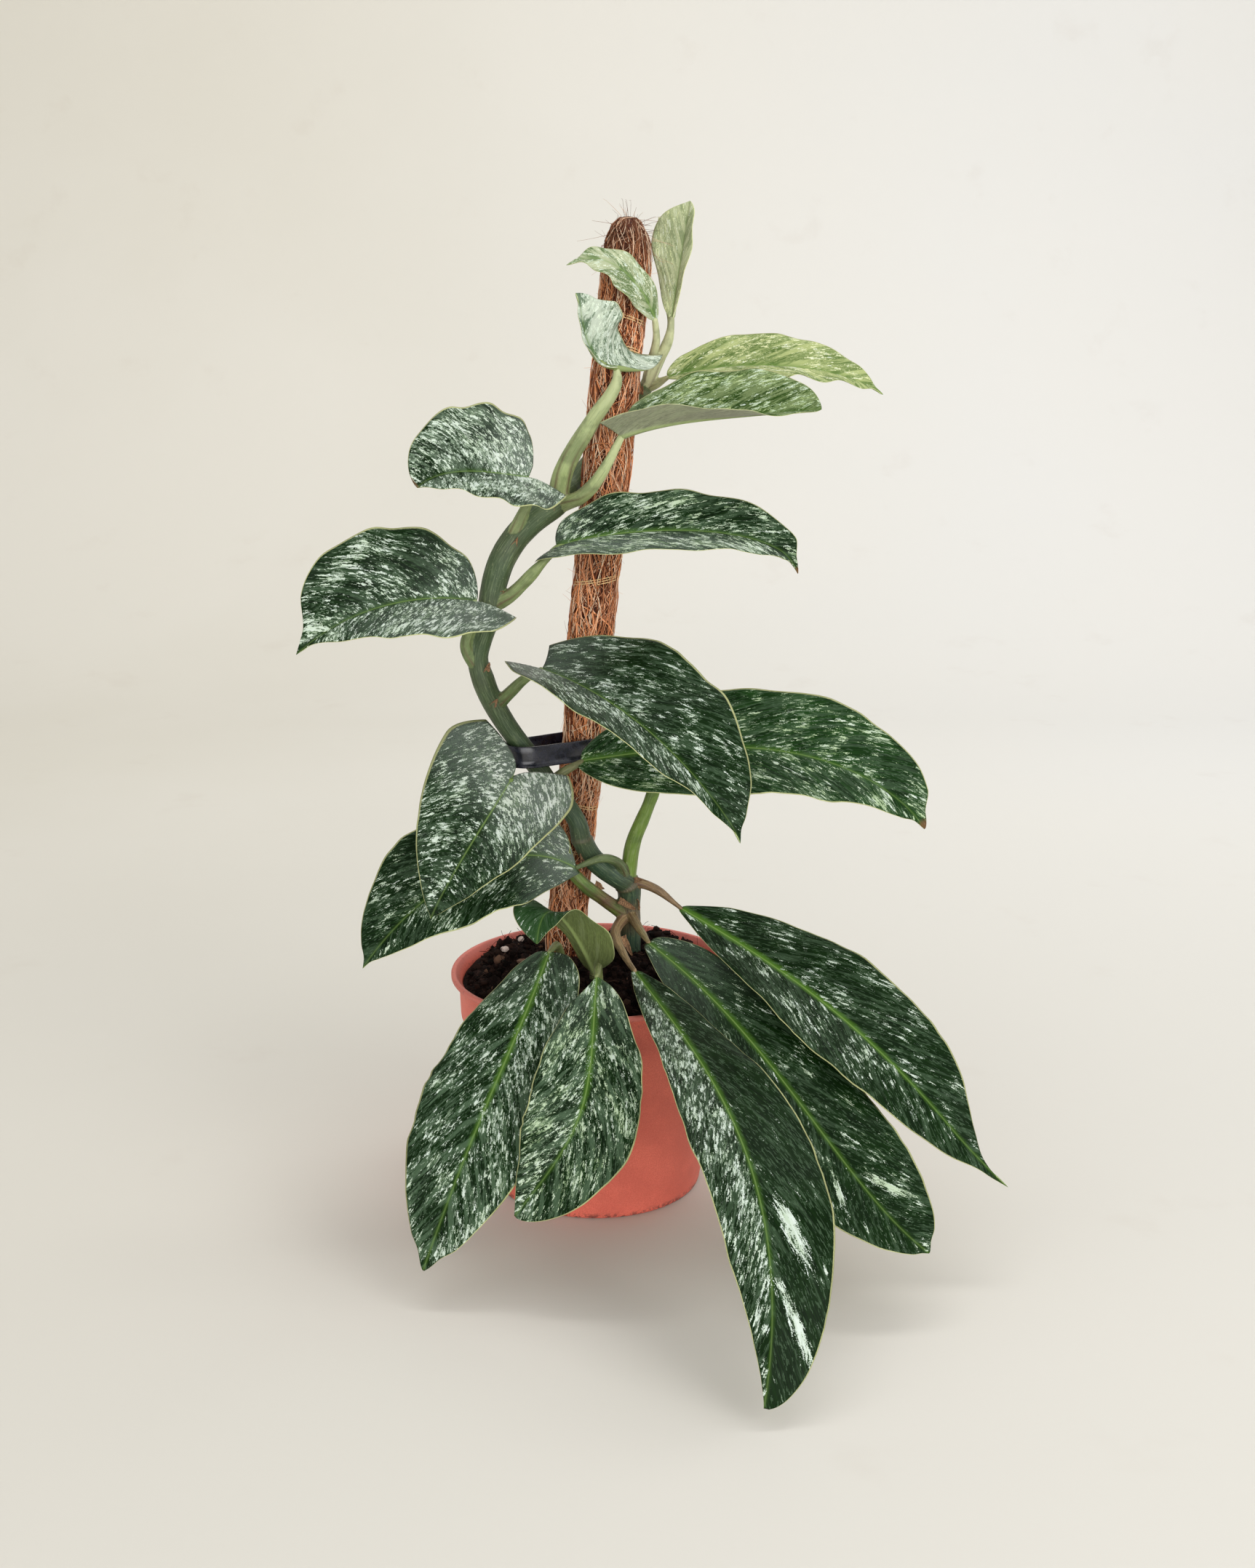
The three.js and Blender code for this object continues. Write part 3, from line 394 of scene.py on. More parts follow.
# Leaves: one row each, with the rib, the facing, the outline of both halves, the stalk and the colours.
# A pair gives the left and the right half. What a row leaves out is in leafDefaults and lookDefaults
leaves = [
    dict(name="leaf_spear", slot="leaf_young",
        rib=[[42, 8, 498], [45, 4, 518], [48, 0, 538], [51, -4, 558]], face=[-0.5, -0.8, 0.1], half=[19, 8],
        lift=[8, 30], wide=[0.62, 0.6], full=1.6, point=[1.1, 0.6], wave=1.5, waves=2.5, crinkle=1.2,
        stalk=[[27.5, 24, 460.5], [34, 18, 474], [40.5, 12, 487]], stalkRadius=[4, 2.2],
        look=dict(chip=0.7, streak=0.6, dark=(126, 140, 102), mid=(158, 168, 128), dull=(184, 190, 152),
            fleck=(222, 226, 198), left=1.1, right=1.0, glow=0.2, haze=0.8, lime=(202, 208, 128),
            # the young underside is pale, and its colour is raised further as painted light for light shining
            # through from behind
            limeShare=0.6, silver=0.0, margin=(214, 216, 150), under=(236, 232, 206))),
    dict(name="leaf_crown", slot="leaf_young",
        rib=[[33, -4, 497], [25, -12, 512], [10, -20, 525], [-12, -26, 526]], face=[-0.1, -0.8, 0.6],
        half=[11, 9], lift=[8, 10], wide=0.45, neck=0.2, wave=1.4, waves=3.5, crinkle=1.4, tail=(0.82, 0.4),
        hook=(-2, 0, -2), stalk=[[27.5, 24, 460.5], [30.5, 16, 474], [33.5, 4, 487]], stalkRadius=[3, 2],
        look=dict(chip=0.65, streak=0.6, dark=(74, 100, 56), mid=(128, 141, 104), dull=(168, 175, 144),
            fleck=(228, 229, 206), left=1.1, right=1.0, glow=0.3, haze=0.9, limeShare=0.3, silver=0.0)),
    dict(name="leaf_silver", slot="leaf_silvery",
        rib=[[13, -14, 473], [1, -24, 478], [-5, -30, 492], [-7, -32, 508]], face=[0.3, -0.9, 0.3],
        half=[4, 23], lift=[50, 5], wide=[0.4, 0.6], lobe=[0, 0.62], lean=[0, -0.28], heart=[0, 1],
        neck=[0.5, 0.75], point=[0.9, 0.35], crinkle=1.4, tail=(0.86, 0.4), hook=(-2, 0, 2), veinLean=1.0,
        stalk=[[-20.9, -4, 400.5], [-15.4, -10, 420.5], [-1, -15, 444], [12, -15, 464]],
        stalkRadius=[6.3, 2.4],
        look=dict(chip=0.85, streak=0.6, dark=(64, 86, 60), mid=(124, 142, 120), dull=(178, 188, 172),
            fleck=(224, 232, 220), left=1.1, right=1.2, haze=1.0, paintedSheenReach=1.0, margin=(206, 208, 160))),
    dict(name="leaf_lime", slot="leaf_light",
        rib=[[40, 16, 467], [77, 8, 473], [120, -2, 471], [155, -14, 458]], face=[0, -0.6, 0.8],
        half=[18.5, 18], lift=[35, 20], wide=0.38, neck=0.3, point=1.5, wave=[1.0, 1.6], waves=5.2,
        crinkle=1.6, uneven=0.05, tail=(0.86, 0.3), stalk=[[27.5, 24, 460.5], [34, 20.5, 463.5]],
        stalkRadius=[3.2, 2],
        look=dict(chip=0.7, streak=0.6, dark=(66, 92, 38), mid=(134, 150, 96), dull=(164, 174, 118),
            fleck=(226, 228, 196), lime=(212, 214, 164), left=0.9, right=1.0, limeShare=1.0, haze=0.9,
            silver=0.0)),
    dict(name="leaf_keel", slot="leaf_dark",
        rib=[[14, -20, 436], [46, -26, 444], [84, -30, 448], [120, -36, 451]], face=[0, -0.55, 0.85],
        half=[27, 18], lift=[40, 85], wide=[0.5, 0.3], lobe=[-0.03, 0.05], neck=[0.35, 0.75],
        flat=[0.3, 0.9], point=[0.65, 1], crinkle=1.3,
        stalk=[[-21, -2, 398], [-6, -15, 405], [5, -20, 418]], stalkRadius=[4.5, 2.8],
        look=dict(chip=0.75, streak=0.65, dark=(26, 50, 14), mid=(72, 96, 44), dull=(122, 138, 94),
            fleck=(176, 188, 140), left=1.1, right=0.9, limeShare=0.5, silver=0.3, haze=0.6,
            under=(138, 142, 116))),
    dict(name="leaf_round", slot="leaf_variegated",
        rib=[[-35, -24, 415], [-53, -36, 418], [-73, -52, 419], [-90, -66, 412]], face=[0, -0.8, 0.6],
        half=[37, 35], lift=[27, 36], wide=[0.25, 0.48], lobe=[0.22, 0.03], neck=0.5, heart=[0.6, 0.3],
        point=[1.1, 0.6], sweep=[0.05, -0.09], wave=1.6, waves=4.2, crinkle=1.6, uneven=0.04, veinLean=0.3,
        stalk=[[-46.5, -16, 378], [-40, -19, 392], [-35, -21, 404]], stalkRadius=[4, 2.2],
        look=dict(brownTip=0.6, chip=0.85, streak=0.7, glow=0.3, left=1.25, right=1.0,
            fleck=(206, 218, 206), dull=(116, 136, 114), silver=0.5, paintedSheenReach=0.5,
            sheen=[(0.15, 0.4, 0.3, 0.6, 0.5)], under=(124, 134, 104))),
    dict(name="leaf_broad", slot="leaf_variegated",
        rib=[[-63.6, -31, 348.6], [-87.5, -46, 352.5], [-119.7, -62, 347.3], [-151, -76, 329]],
        face=[0, -0.8, 0.6], half=[40, 41], lift=[28, 30], wide=[0.25, 0.6], lobe=[0.19, 0], lean=[0.07, 0],
        neck=[0.45, 0.12], heart=[0.5, 0], full=[2, 1.5], point=[1.5, 1.1], taper=[2, 3],
        sweep=[0.05, -0.14], wave=1.8, waves=4.5, crinkle=1.6, uneven=0.04, tail=(0.9, 0.35),
        hook=(-3, 0, -2), veinLean=0.7, stalk=[[-62, -16, 305], [-70.7, -22, 323], [-66, -24, 338]],
        stalkRadius=[4, 2.4],
        look=dict(chip=0.9, streak=0.7, glow=0.3, left=1.05, right=0.85, fleck=(196, 210, 196), silver=0.5,
            paintedSheenReach=0.5, sheen=[(0.3, -0.6, 0.35, 0.5, 0.6)], under=(150, 156, 140))),
    dict(name="leaf_long", slot="leaf_variegated",
        rib=[[-20, -30, 378], [13, -38, 386], [67, -44, 387], [107, -50, 371]], face=[0, -0.65, 0.76],
        half=[23, 24], lift=[30, 22], wide=[0.38, 0.35], lobe=[0, 0.09], lean=[0, -0.02], heart=[0, 0.7],
        neck=[0.35, 0.45], point=[0.7, 1.15], wave=1.3, waves=4.5, crinkle=1.3, uneven=0.04,
        tail=(0.9, 0.5), hook=(1, 0, -5), stalk=[[-56, -18, 345], [-45, -22, 352], [-34, -26, 363]],
        stalkRadius=[4.4, 2.5],
        look=dict(brownTip=0.8, left=0.85, right=0.95, silver=0.4, limeShare=0.45,
            sheen=[(0.3, 0.6, 0.5, 0.4, 0.7)])),
    dict(name="leaf_mantle", slot="leaf_variegated",
        rib=[[-29, -30, 312], [7, -70, 302], [43, -105, 279], [75, -122, 240]], face=[0.35, -0.6, 0.7],
        half=[47, 37], lift=[26, 22], wide=[0.3, 0.22], lobe=[0.06, 0.1], heart=[0, 0.5], neck=0.35,
        point=[0.95, 1.7], wave=1.4, waves=3.8, crinkle=1.3, tail=(0.93, 0.3), hook=(0, 0, -2),
        veinLean=1.4, stalk=[[-56, -13, 288], [-48, -18, 296], [-39, -24, 305]], stalkRadius=[4, 2.4],
        look=dict(streak=0.8, glow=0.25, left=0.55, right=0.7, silver=0.4, paintedSheenReach=0.25,
            sheen=[(0.1, 0.4, 0.25, 0.5, 0.5)], more=[(0.4, 0.4, 0.2, 0.4, 0.4)])),
    dict(name="leaf_hook", slot="leaf_dark",
        rib=[[-8, -14, 257], [53, -22, 266], [121, -34, 263], [180, -52, 229]], face=[0.1, -0.6, 0.8],
        half=[36, 37], lift=[25, 3], wide=[0.5, 0.33], lobe=[0, 0.01], neck=0.25, point=[0.62, 1],
        waves=3.6, crinkle=1.2, tail=(0.93, 0.4), hook=(0, 0, -2),
        stalk=[[-29, -7.5, 245.5], [-25, -15, 246], [-17.5, -16.5, 251.5]], stalkRadius=[3.4, 2.2],
        look=dict(brownTip=0.8, left=0.65, right=0.75, limeShare=0.6, silver=0.0, mid=(34, 70, 26))),
    dict(name="leaf_heart", slot="leaf_light",
        rib=[[-46, -40, 252], [-60, -62, 232], [-74, -80, 211], [-86, -92, 189]], face=[0.1, -0.85, 0.5],
        half=[37, 44], lift=[4, 10], wide=0.1, lobe=[0.2, 0.27], heart=[0.7, 0.9], neck=[0.72, 0.66],
        point=[1.1, 1.15], taper=[1.2, 1.45], wave=1.6, waves=3.8, crinkle=1.3, tail=(0.93, 0.3),
        veinLean=0.15, veinCurl=0.02, stalk=[[18.5, 11, 158], [3.8, 4, 170.5], [-8.3, -2, 182],
            [-20.8, -3, 197.7], [-33.1, -5, 220.9], [-40, -14, 240], [-43.5, -27, 249]],
        stalkRadius=[4.4, 2.4],
        look=dict(streak=0.6, left=0.8, right=0.9, more=[(0.05, -0.5, 0.25, 0.5, 0.6)], glow=0.1,
            silver=0.75, paintedSheenReach=0.35, sheen=[(0.0, -0.6, 0.3, 0.5, 0.9), (0.0, 0.3, 0.22, 0.5, 0.5)])),
    dict(name="leaf_wing", slot="leaf_variegated",
        rib=[[-11, -14, 194], [-50, -34, 206], [-91, -52, 189], [-127, -66, 152]], face=[-0.1, -0.75, 0.65],
        half=[33, 38], lift=5, wide=[0.33, 0.5], lobe=[0.02, -0.06], neck=[0.12, 0.42], point=[1.3, 1.2],
        wave=1.4, waves=3.2, crinkle=1.2, tail=(0.92, 0.3), veinLean=1.4,
        stalk=[[17.8, 8, 180], [12.8, -2, 194], [3.5, -10, 199]], stalkRadius=[3.2, 2.2],
        look=dict(glow=0.3, sheen=[(0.08, 0.2, 0.16, 0.8, 0.5)], left=0.65, right=0.6, silver=0.7,
            paintedSheenReach=0.35, limeShare=0.4)),
    dict(name="leaf_curled", slot="leaf_olive",
        rib=[[-2, -24, 136], [-9, -38, 158], [-22, -56, 181], [-31, -72, 168]], face=[0, 0, 1],
        half=[22, 20], wide=[0.35, 0.72], full=[2, 1.3], ownStalk="stalk_curled",
        stalk=[[-2, -17, 104], [-2, -18, 122]], stalkRadius=[3, 2.4],
        look=dict(left=0.2, right=0.2, dark=(20, 44, 20), mid=(50, 80, 44))),
    dict(name="leaf_front_left", slot="leaf_light",
        rib=[[-25.7, -41, 153.4], [-42.5, -96, 122.2], [-61.7, -131, 83.8], [-87, -158, 20.6]],
        face=[0, -0.75, 0.65], half=[35, 36], lift=[10, -6], wide=[0.45, 0.5], neck=[0.5, 0.3],
        point=[0.75, 0.8], wave=[2.2, 1.6], waves=3.6, crinkle=1.4, uneven=0.045, tail=(0.92, 0.25),
        veinLean=1.5, ownStalk="stalk_front_left",
        stalk=[[-18, -12, 104], [-19.5, -16, 138], [-22, -21, 150]], stalkRadius=[3, 2.4],
        look=dict(streak=0.55, left=0.85, right=0.7, glow=0.7, limeShare=0.3, haze=0.6)),
    dict(name="leaf_over_rim", slot="leaf_light",
        rib=[[1.2, -67, 148.2], [-1.6, -120, 115.6], [-11.4, -144, 88.3], [-40, -154, 49.2]],
        face=[0, -0.8, 0.6], half=[32, 29], lift=[17, 15], wide=[0.5, 0.42], lobe=[-0.03, -0.08],
        neck=[0.3, 0.35], full=2.2, point=[0.6, 0.95], wave=1.8, waves=4.2, crinkle=1.6, uneven=0.05,
        veinLean=1.4, ownStalk="stalk_over_rim", stalk=[[2, -38, 104], [2, -42, 136], [1.6, -48, 147]],
        stalkRadius=[2.6, 2.2],
        look=dict(streak=0.6, left=0.85, right=0.95, glow=0.7, limeShare=0.5, haze=0.6)),
    dict(name="leaf_tongue", slot="leaf_dark",
        rib=[[22, -40, 141.5], [57.3, -131, 121.2], [81.3, -212, 85], [80, -265, 10]],
        face=[0.2, -0.7, 0.7], half=[34, 31], lift=[0, 20], wide=[0.5, 0.45], full=1.6, point=[0.5, 1.35],
        wave=1.5, waves=3.4, crinkle=1.3, stalk=[[18.5, 12, 160], [11, -4, 153], [15, -17, 145]],
        stalkRadius=[3.4, 2.2],
        look=dict(streak=1.0, left=0.08, right=0.82, glow=0.6, mid=(17, 42, 10), silver=0.0,
            more=[(0.22, 0.4, 0.16, 0.4, 0.5), (0.6, 0.3, 0.14, 0.5, 0.4), (0.9, 0.0, 0.12, 0.9, -0.35),
                (0.35, -0.5, 0.3, 0.5, -0.2)], splashes=[(0.7, -0.42, 9.0, 5.0), (0.86, -0.5, 5.0, 8.0)])),
    dict(name="leaf_low_right", slot="leaf_dark",
        rib=[[29.9, -16.5, 150.5], [87.6, -88.5, 114.8], [130, -142, 73], [170, -172, 38]],
        face=[0.2, -0.7, 0.7], half=[33.5, 36], lift=[8, 12], wide=0.5, neck=[0.35, 0.2], full=[2.5, 2],
        point=[0.7, 1.2], wave=1.4, waves=3.4, crinkle=1.3, tail=(0.94, 0.3),
        stalk=[[18.5, 12, 162], [23, 1, 156.5]], stalkRadius=[3.5, 2.2],
        look=dict(streak=0.9, left=0.3, right=0.2, glow=0.6, limeShare=0.4, silver=0.3,
            splashes=[(0.7, 0.5, 4.0, 3.5), (0.76, -0.4, 5.0, 4.5)])),
    dict(name="leaf_far_right", slot="leaf_dark",
        rib=[[49, 0, 166], [109.3, -53, 141.5], [161.9, -97, 106.9], [215.5, -127, 48]],
        face=[0.2, -0.65, 0.75], half=[37, 33], lift=[8, 12], wide=[0.36, 0.42], neck=0.14, full=[2, 1.6],
        point=[2.4, 1.2], taper=[3, 2], wave=1.3, waves=3.2, crinkle=1.3, tail=(0.84, 0.36), hook=(3, 0, 4),
        stalk=[[17.8, 9, 181], [33.9, 5, 176.5]], stalkRadius=[3.4, 2],
        look=dict(streak=1.0, left=0.42, right=0.42, glow=0.9, silver=0.0,
            more=[(0.35, 0.4, 0.3, 0.5, 0.25), (0.85, 0.0, 0.15, 0.9, -0.2)])),
]
leafDefaults = {
    "lift": 10,             # degrees that a half folds up from the rib
    "flat": 0.3,            # share of that fold which is lost towards the tip
    "wide": 0.4,            # where along the rib the half is widest
    "neck": 0.15,           # width at the base, as a share of the widest
    "full": 2,              # how round it swells from there
    "point": 0.9,           # how soon it narrows at the tip
    "taper": 2,             # and how late that begins
    "sweep": 0.08,          # how far the margin bows towards the tip
    "lobe": 0,              # how far the base reaches back beside the stalk
    "lean": 0,              # how far the base is pushed sideways
    "heart": 0,             # how heart-shaped the base is
    "wave": 1.2,            # height of the margin's waves, mm
    "waves": 3.3,
    "phase": 0.1,
    "crinkle": 1.0,         # height of its small folds, mm
    "uneven": 0.03,         # how ragged the outline is
    "tail": (0.9, 0.0),     # where the drip tip begins, and how much narrower it is
    "hook": (0, 0, 0),      # how far the very tip is bent aside, mm
    "veinLean": 1.75,       # how far a side vein runs towards the tip for each mm outwards
    "veinCurl": 0.012,      # and how much it turns further towards it
}
blade = {
    "rows": 84,
    "columns": 26,          # to each side of the rib
    "crowding": 1.35,       # columns lie closer together near the rib
    "half": 0.42,           # half of the thickness, mm
    "ribSink": 0.4,         # groove along the upper side, mm
    "ribGroove": 1.0,
    "keelHeight": 1.5,      # raised rib of the underside, mm
    "keelWidth": 1.1,
    "quilt": 0.2,           # swelling between the side veins, mm
    "dimple": 0.75,         # slow hollows and swells of the surface, mm
    "dimpleSize": 21,
    "veinStep": 5.2,        # distance between the main side veins, mm
}


def leafValue(leaf, key, which):
    value = leaf.get(key, leafDefaults.get(key))
    return value[which] if isinstance(value, (list, tuple)) else value


def ribPoints(rib, u):
    # cubic through four evenly timed points, with its direction
    p = np.array(rib, dtype=float)
    b = (-5 * p[0] + 18 * p[1] - 9 * p[2] + 2 * p[3]) / 6
    c = (2 * p[0] - 9 * p[1] + 18 * p[2] - 5 * p[3]) / 6
    u = u[..., None]
    places = p[0] * (1 - u) ** 3 + 3 * b * u * (1 - u) ** 2 + 3 * c * u ** 2 * (1 - u) + p[3] * u ** 3
    slope = 3 * (b - p[0]) * (1 - u) ** 2 + 6 * (c - b) * u * (1 - u) + 3 * (p[3] - c) * u ** 2
    return places, unit(slope)


def ribLength(rib):
    places, _ = ribPoints(rib, np.linspace(0, 1, 201))
    return float(distances(places)[-1])


def bladePoints(leaf, which, u, v, length):
    # places of one half of the blade, and each place's distance along and away from the rib
    place, along = ribPoints(leaf["rib"], u)
    face = unit(np.array(leaf["face"], dtype=float))
    out = unit(face - (along @ face)[..., None] * along)
    side = np.cross(along, out)
    wide, neck, full, point, taper, sweep, lobe, lean, heart, flat, lift, half, wave, waves, phase = (
        leafValue(leaf, key, which) for key in (
            "wide", "neck", "full", "point", "taper", "sweep", "lobe", "lean", "heart", "flat", "lift",
            "half", "wave", "waves", "phase"))
    before = np.clip((wide - u) / wide, 0, 1)
    after = np.clip((u - wide) / (1 - wide), 0, 1)
    swelling = 1 - (1 - neck) * before ** full
    closing = np.clip(1 - after ** taper, 0, 1) ** point
    width = np.where(u < wide, swelling, closing)
    if lobe < 0.04:
        width = width * (0.35 + 0.65 * np.sqrt(1 - (1 - np.clip(u / 0.075, 0, 1)) ** 2))
    tailStart, tailShare = leaf.get("tail", leafDefaults["tail"])
    drawn = np.clip((u - tailStart) / (0.55 * (1 - tailStart)), 0, 1)
    width = width * (1 - tailShare * drawn * drawn * (3 - 2 * drawn))
    bent = np.clip((u - tailStart) / (1 - tailStart), 0, 1) ** 2
    place = place + bent[..., None] * np.array(leaf.get("hook", leafDefaults["hook"]), dtype=float)
    back = (1 - u) ** 4
    bow = sweep * 4 * u * (1 - u) * v ** 1.5
    forward = length * (bow - lobe * back * v ** (1.4 - 0.7 * heart))
    across = length * lean * back * v
    fold = np.radians(lift * (1 - flat * u))
    reach = half * width * v ** (1 + 1.5 * heart * back)
    sign = 1 if which == 1 else -1
    ripple = wave * v ** 2 * np.sin(2 * math.pi * (waves * u + phase + 0.3 * which))
    edgeSpot = np.column_stack([
        u.ravel() * length, np.full(u.size, 40.0 * which + phase * 300), np.zeros(u.size)])
    crinkle = softNoise(edgeSpot, 8, 11).reshape(u.shape)
    notch = softNoise(edgeSpot, 17, 12).reshape(u.shape) + 0.5 * softNoise(edgeSpot, 6, 13).reshape(u.shape)
    calm = np.sqrt(np.sin(math.pi * np.clip(u, 0, 1)))
    ripple = (ripple + leafValue(leaf, "crinkle", which) * crinkle * v ** 4) * calm
    reach = reach * (1 + leafValue(leaf, "uneven", which) * notch * v ** 3 * calm)
    rise = reach * np.sin(fold) + ripple
    points = (place + along * forward[..., None]
              + side * (sign * reach * np.cos(fold) + across)[..., None] + out * rise[..., None])
    return points, u * length + forward, reach


def veinStart(leaf, run, reach):
    # where along the rib the side vein through a place begins, mm
    return run - leafValue(leaf, "veinLean", 0) * reach - leafValue(leaf, "veinCurl", 0) * reach ** 2


def ribSpot(leaf, along, across):
    # a blade place in the millimetres that the side veins are measured in
    which = 1 if across > 0 else 0
    u, v = np.array([along]), np.array([abs(across)])
    _, run, reach = bladePoints(leaf, which, u, v, ribLength(leaf["rib"]))
    return float(veinStart(leaf, run, reach)[0]), float(reach[0]) * (2 * which - 1)


def gridNormals(points):
    down = np.gradient(points, axis=0)
    right = np.gradient(points, axis=1)
    return unit(np.cross(right, down))


def makeLeaf(leaf, index, materials):
    length = ribLength(leaf["rib"])
    rows = blade["rows"]
    columns = blade["columns"]
    even = np.arange(rows) / (rows - 1)
    along = 0.4 * even + 0.3 * (1 - np.cos(math.pi * even))
    along = np.minimum(along, 0.9985)
    outward = (np.arange(columns + 1) / columns) ** blade["crowding"]
    outward[-1] = 1
    u, v = np.meshgrid(along, outward, indexing="ij")
    left, leftAlong, leftAway = bladePoints(leaf, 0, u, v, length)
    right, rightAlong, rightAway = bladePoints(leaf, 1, u, v, length)
    join = lambda a, b: np.concatenate([a[:, ::-1], b[:, 1:]], axis=1)
    middle = join(left, right)
    runs = join(leftAlong, rightAlong)
    away = join(-leftAway, rightAway)
    uAll = join(u, u)
    vAll = join(-v, v)
    normals = gridNormals(middle)
    reach = np.abs(away)
    # the thickness closes to nothing at the margin, the base and the tip
    edge = np.sqrt(np.clip(1 - np.abs(vAll) ** 7, 0, 1))
    edge = edge * np.sqrt(np.clip(1 - (1 - np.clip(uAll / 0.03, 0, 1)) ** 2, 0, 1))
    edge = edge * np.sqrt(np.clip((1 - uAll) / 0.02, 0, 1))
    start = veinStart(leaf, runs, reach)
    quilt = np.cos(2 * math.pi * start / blade["veinStep"]) * (1 - np.abs(vAll) ** 3)
    quilt = quilt * np.clip(reach / 6, 0, 1)
    slow = softNoise(middle.reshape(-1, 3), blade["dimpleSize"], index).reshape(uAll.shape)
    slow = slow * blade["dimple"] * np.clip(reach / 10, 0, 1)
    groove = np.exp(-(reach / blade["ribGroove"]) ** 2) * (1 - 0.6 * uAll)
    keel = np.exp(-(reach / (blade["keelWidth"] * (1.25 - 0.8 * uAll))) ** 2) * (1 - uAll) ** 0.8
    lift = slow + blade["quilt"] * quilt
    topLift = (lift + blade["half"] - blade["ribSink"] * groove) * edge
    underLift = (lift - blade["half"] - blade["keelHeight"] * keel) * edge
    width = 2 * columns + 1
    top = (middle + normals * topLift[..., None]).reshape(-1, 3)
    under = (middle + normals * underLift[..., None]).reshape(-1, 3)
    rim = np.zeros((rows, width), dtype=bool)
    rim[:, 0] = rim[:, -1] = rim[0] = rim[-1] = True
    rim = rim.ravel()
    lower = np.where(rim, np.arange(rows * width), 0)
    lower[~rim] = rows * width + np.arange((~rim).sum())
    points = np.vstack([top, under[~rim]])
    upperFaces = gridFaces(rows, width)
    lowerFaces = lower[upperFaces][:, ::-1]
    both = lambda values: np.concatenate([values.ravel(), values.ravel()[~rim]])
    uvs = {
        "blade": np.column_stack([both(uAll), both(vAll) * 0.5 + 0.5]),
        "vein": np.column_stack([both(start) / 100, both(away) / 100]),
        "span": np.column_stack([both(runs) / 100, both(reach) / 100]),
    }
    # the first material is the upper side, the second the underside
    which = np.repeat([0, 1], len(upperFaces))
    return makePiece(leaf["name"].replace("leaf_", "blade_"), points, np.vstack([upperFaces, lowerFaces]),
                     materials, uvs, faceMaterial=which)


# Leaf colours. Each look changes some of these. Places on a blade are (along, across): along runs from 0 at
# the base to 1 at the tip, and across from -1 at the left margin to 1 at the right one
lookDefaults = {
    "dark": (3, 15, 3), "mid": (19, 45, 12), "dull": (78, 100, 76), "fleck": (186, 199, 188),
    "lime": (142, 170, 96),
    "streak": 0.75,         # how far the flecks are drawn out
    "chip": 1.0,            # size of the flecks
    "limeShare": 0.25,      # how much of the marking is lime instead of mint
    "left": 0.5,            # share of the left half under flecks
    "right": 0.5,
    "tipward": 0.0,         # more or fewer flecks towards the tip
    "haze": 0.3,            # soft grey-green cloud under the flecks
    "silver": 0.2,          # painted sheen: a silvery-grey wash at the base that stands for reflected light
    "paintedSheenReach": 0.3,
    "glow": 0.5,            # yellow-green band along the rib
    "ribClear": 1.6,        # mm beside the rib that stay nearly free of flecks
    "more": [],             # denser spots: along, across, reach along, reach across, strength
    "splashes": [],         # pale splashes: along, across, width and length in mm
    "sheen": [],            # painted sheen spots that stand for reflected light: along, across, reach along, reach across, strength
    "rough": 0.38,
    "margin": (198, 202, 146),
    "brownTip": 0.0,        # dried brown at the very tip
    "under": (112, 126, 74),
}


flecks = {
    "small": (0.5, 1.65),   # size across and along the side veins, mm
    "large": (1.1, 3.5),
    "largeShare": 0.42,     # large flecks are rarer than small ones
    "sway": 1.9,            # how ragged their edges are
    "soft": 0.03,           # and how soft
    "base": -2.66,          # chance of a fleck, and what raises or lowers it
    "byDensity": 0.62, "byBlotch": 1.9, "byPatch": 1.6, "byFine": 1.1,
    "atRib": -0.35, "atMargin": -0.25,
    "sheenShare": 0.45,     # share of a painted sheen spot that also counts as more flecks
}


class BladeGraph(Graph):
    # a graph that knows where on the blade it is, as shares and in millimetres
    def __init__(self, name, leaf, seed):
        super().__init__(name)
        self.look = {**lookDefaults, **leaf["look"]}
        self.shift = (seed * 37.7, seed * 19.3, seed * 5.1)
        vein = self.uv("vein")
        self.veinX, self.veinY, _ = self.split(vein)
        self.along, bladeV, _ = self.split(self.uv("blade"))
        self.run, away, _ = self.split(self.uv("span"))
        self.away = self.times(away, 100)
        self.side = self.line(bladeV, 2, -1)
        self.across = self.math("ABSOLUTE", self.side)
        self.steep = math.hypot(1, leafValue(leaf, "veinLean", 0))
        # place for noise that is drawn out along the side veins
        self.flat = self.scaled(vein, 100, 100, 1, self.shift)
        # fine ridges, two for each main side vein
        self.ridges = self.math("SINE", self.times(self.veinX, 400 * math.pi / blade["veinStep"]))

    def spot(self, along, across, reachAlong, reachAcross):
        # soft oval on the blade, 1 at its middle
        dx = self.line(self.along, 1 / reachAlong, -along / reachAlong)
        dy = self.line(self.side, 1 / reachAcross, -across / reachAcross)
        return self.math("EXPONENT", self.times(self.squares(dx, dy), -1.0))


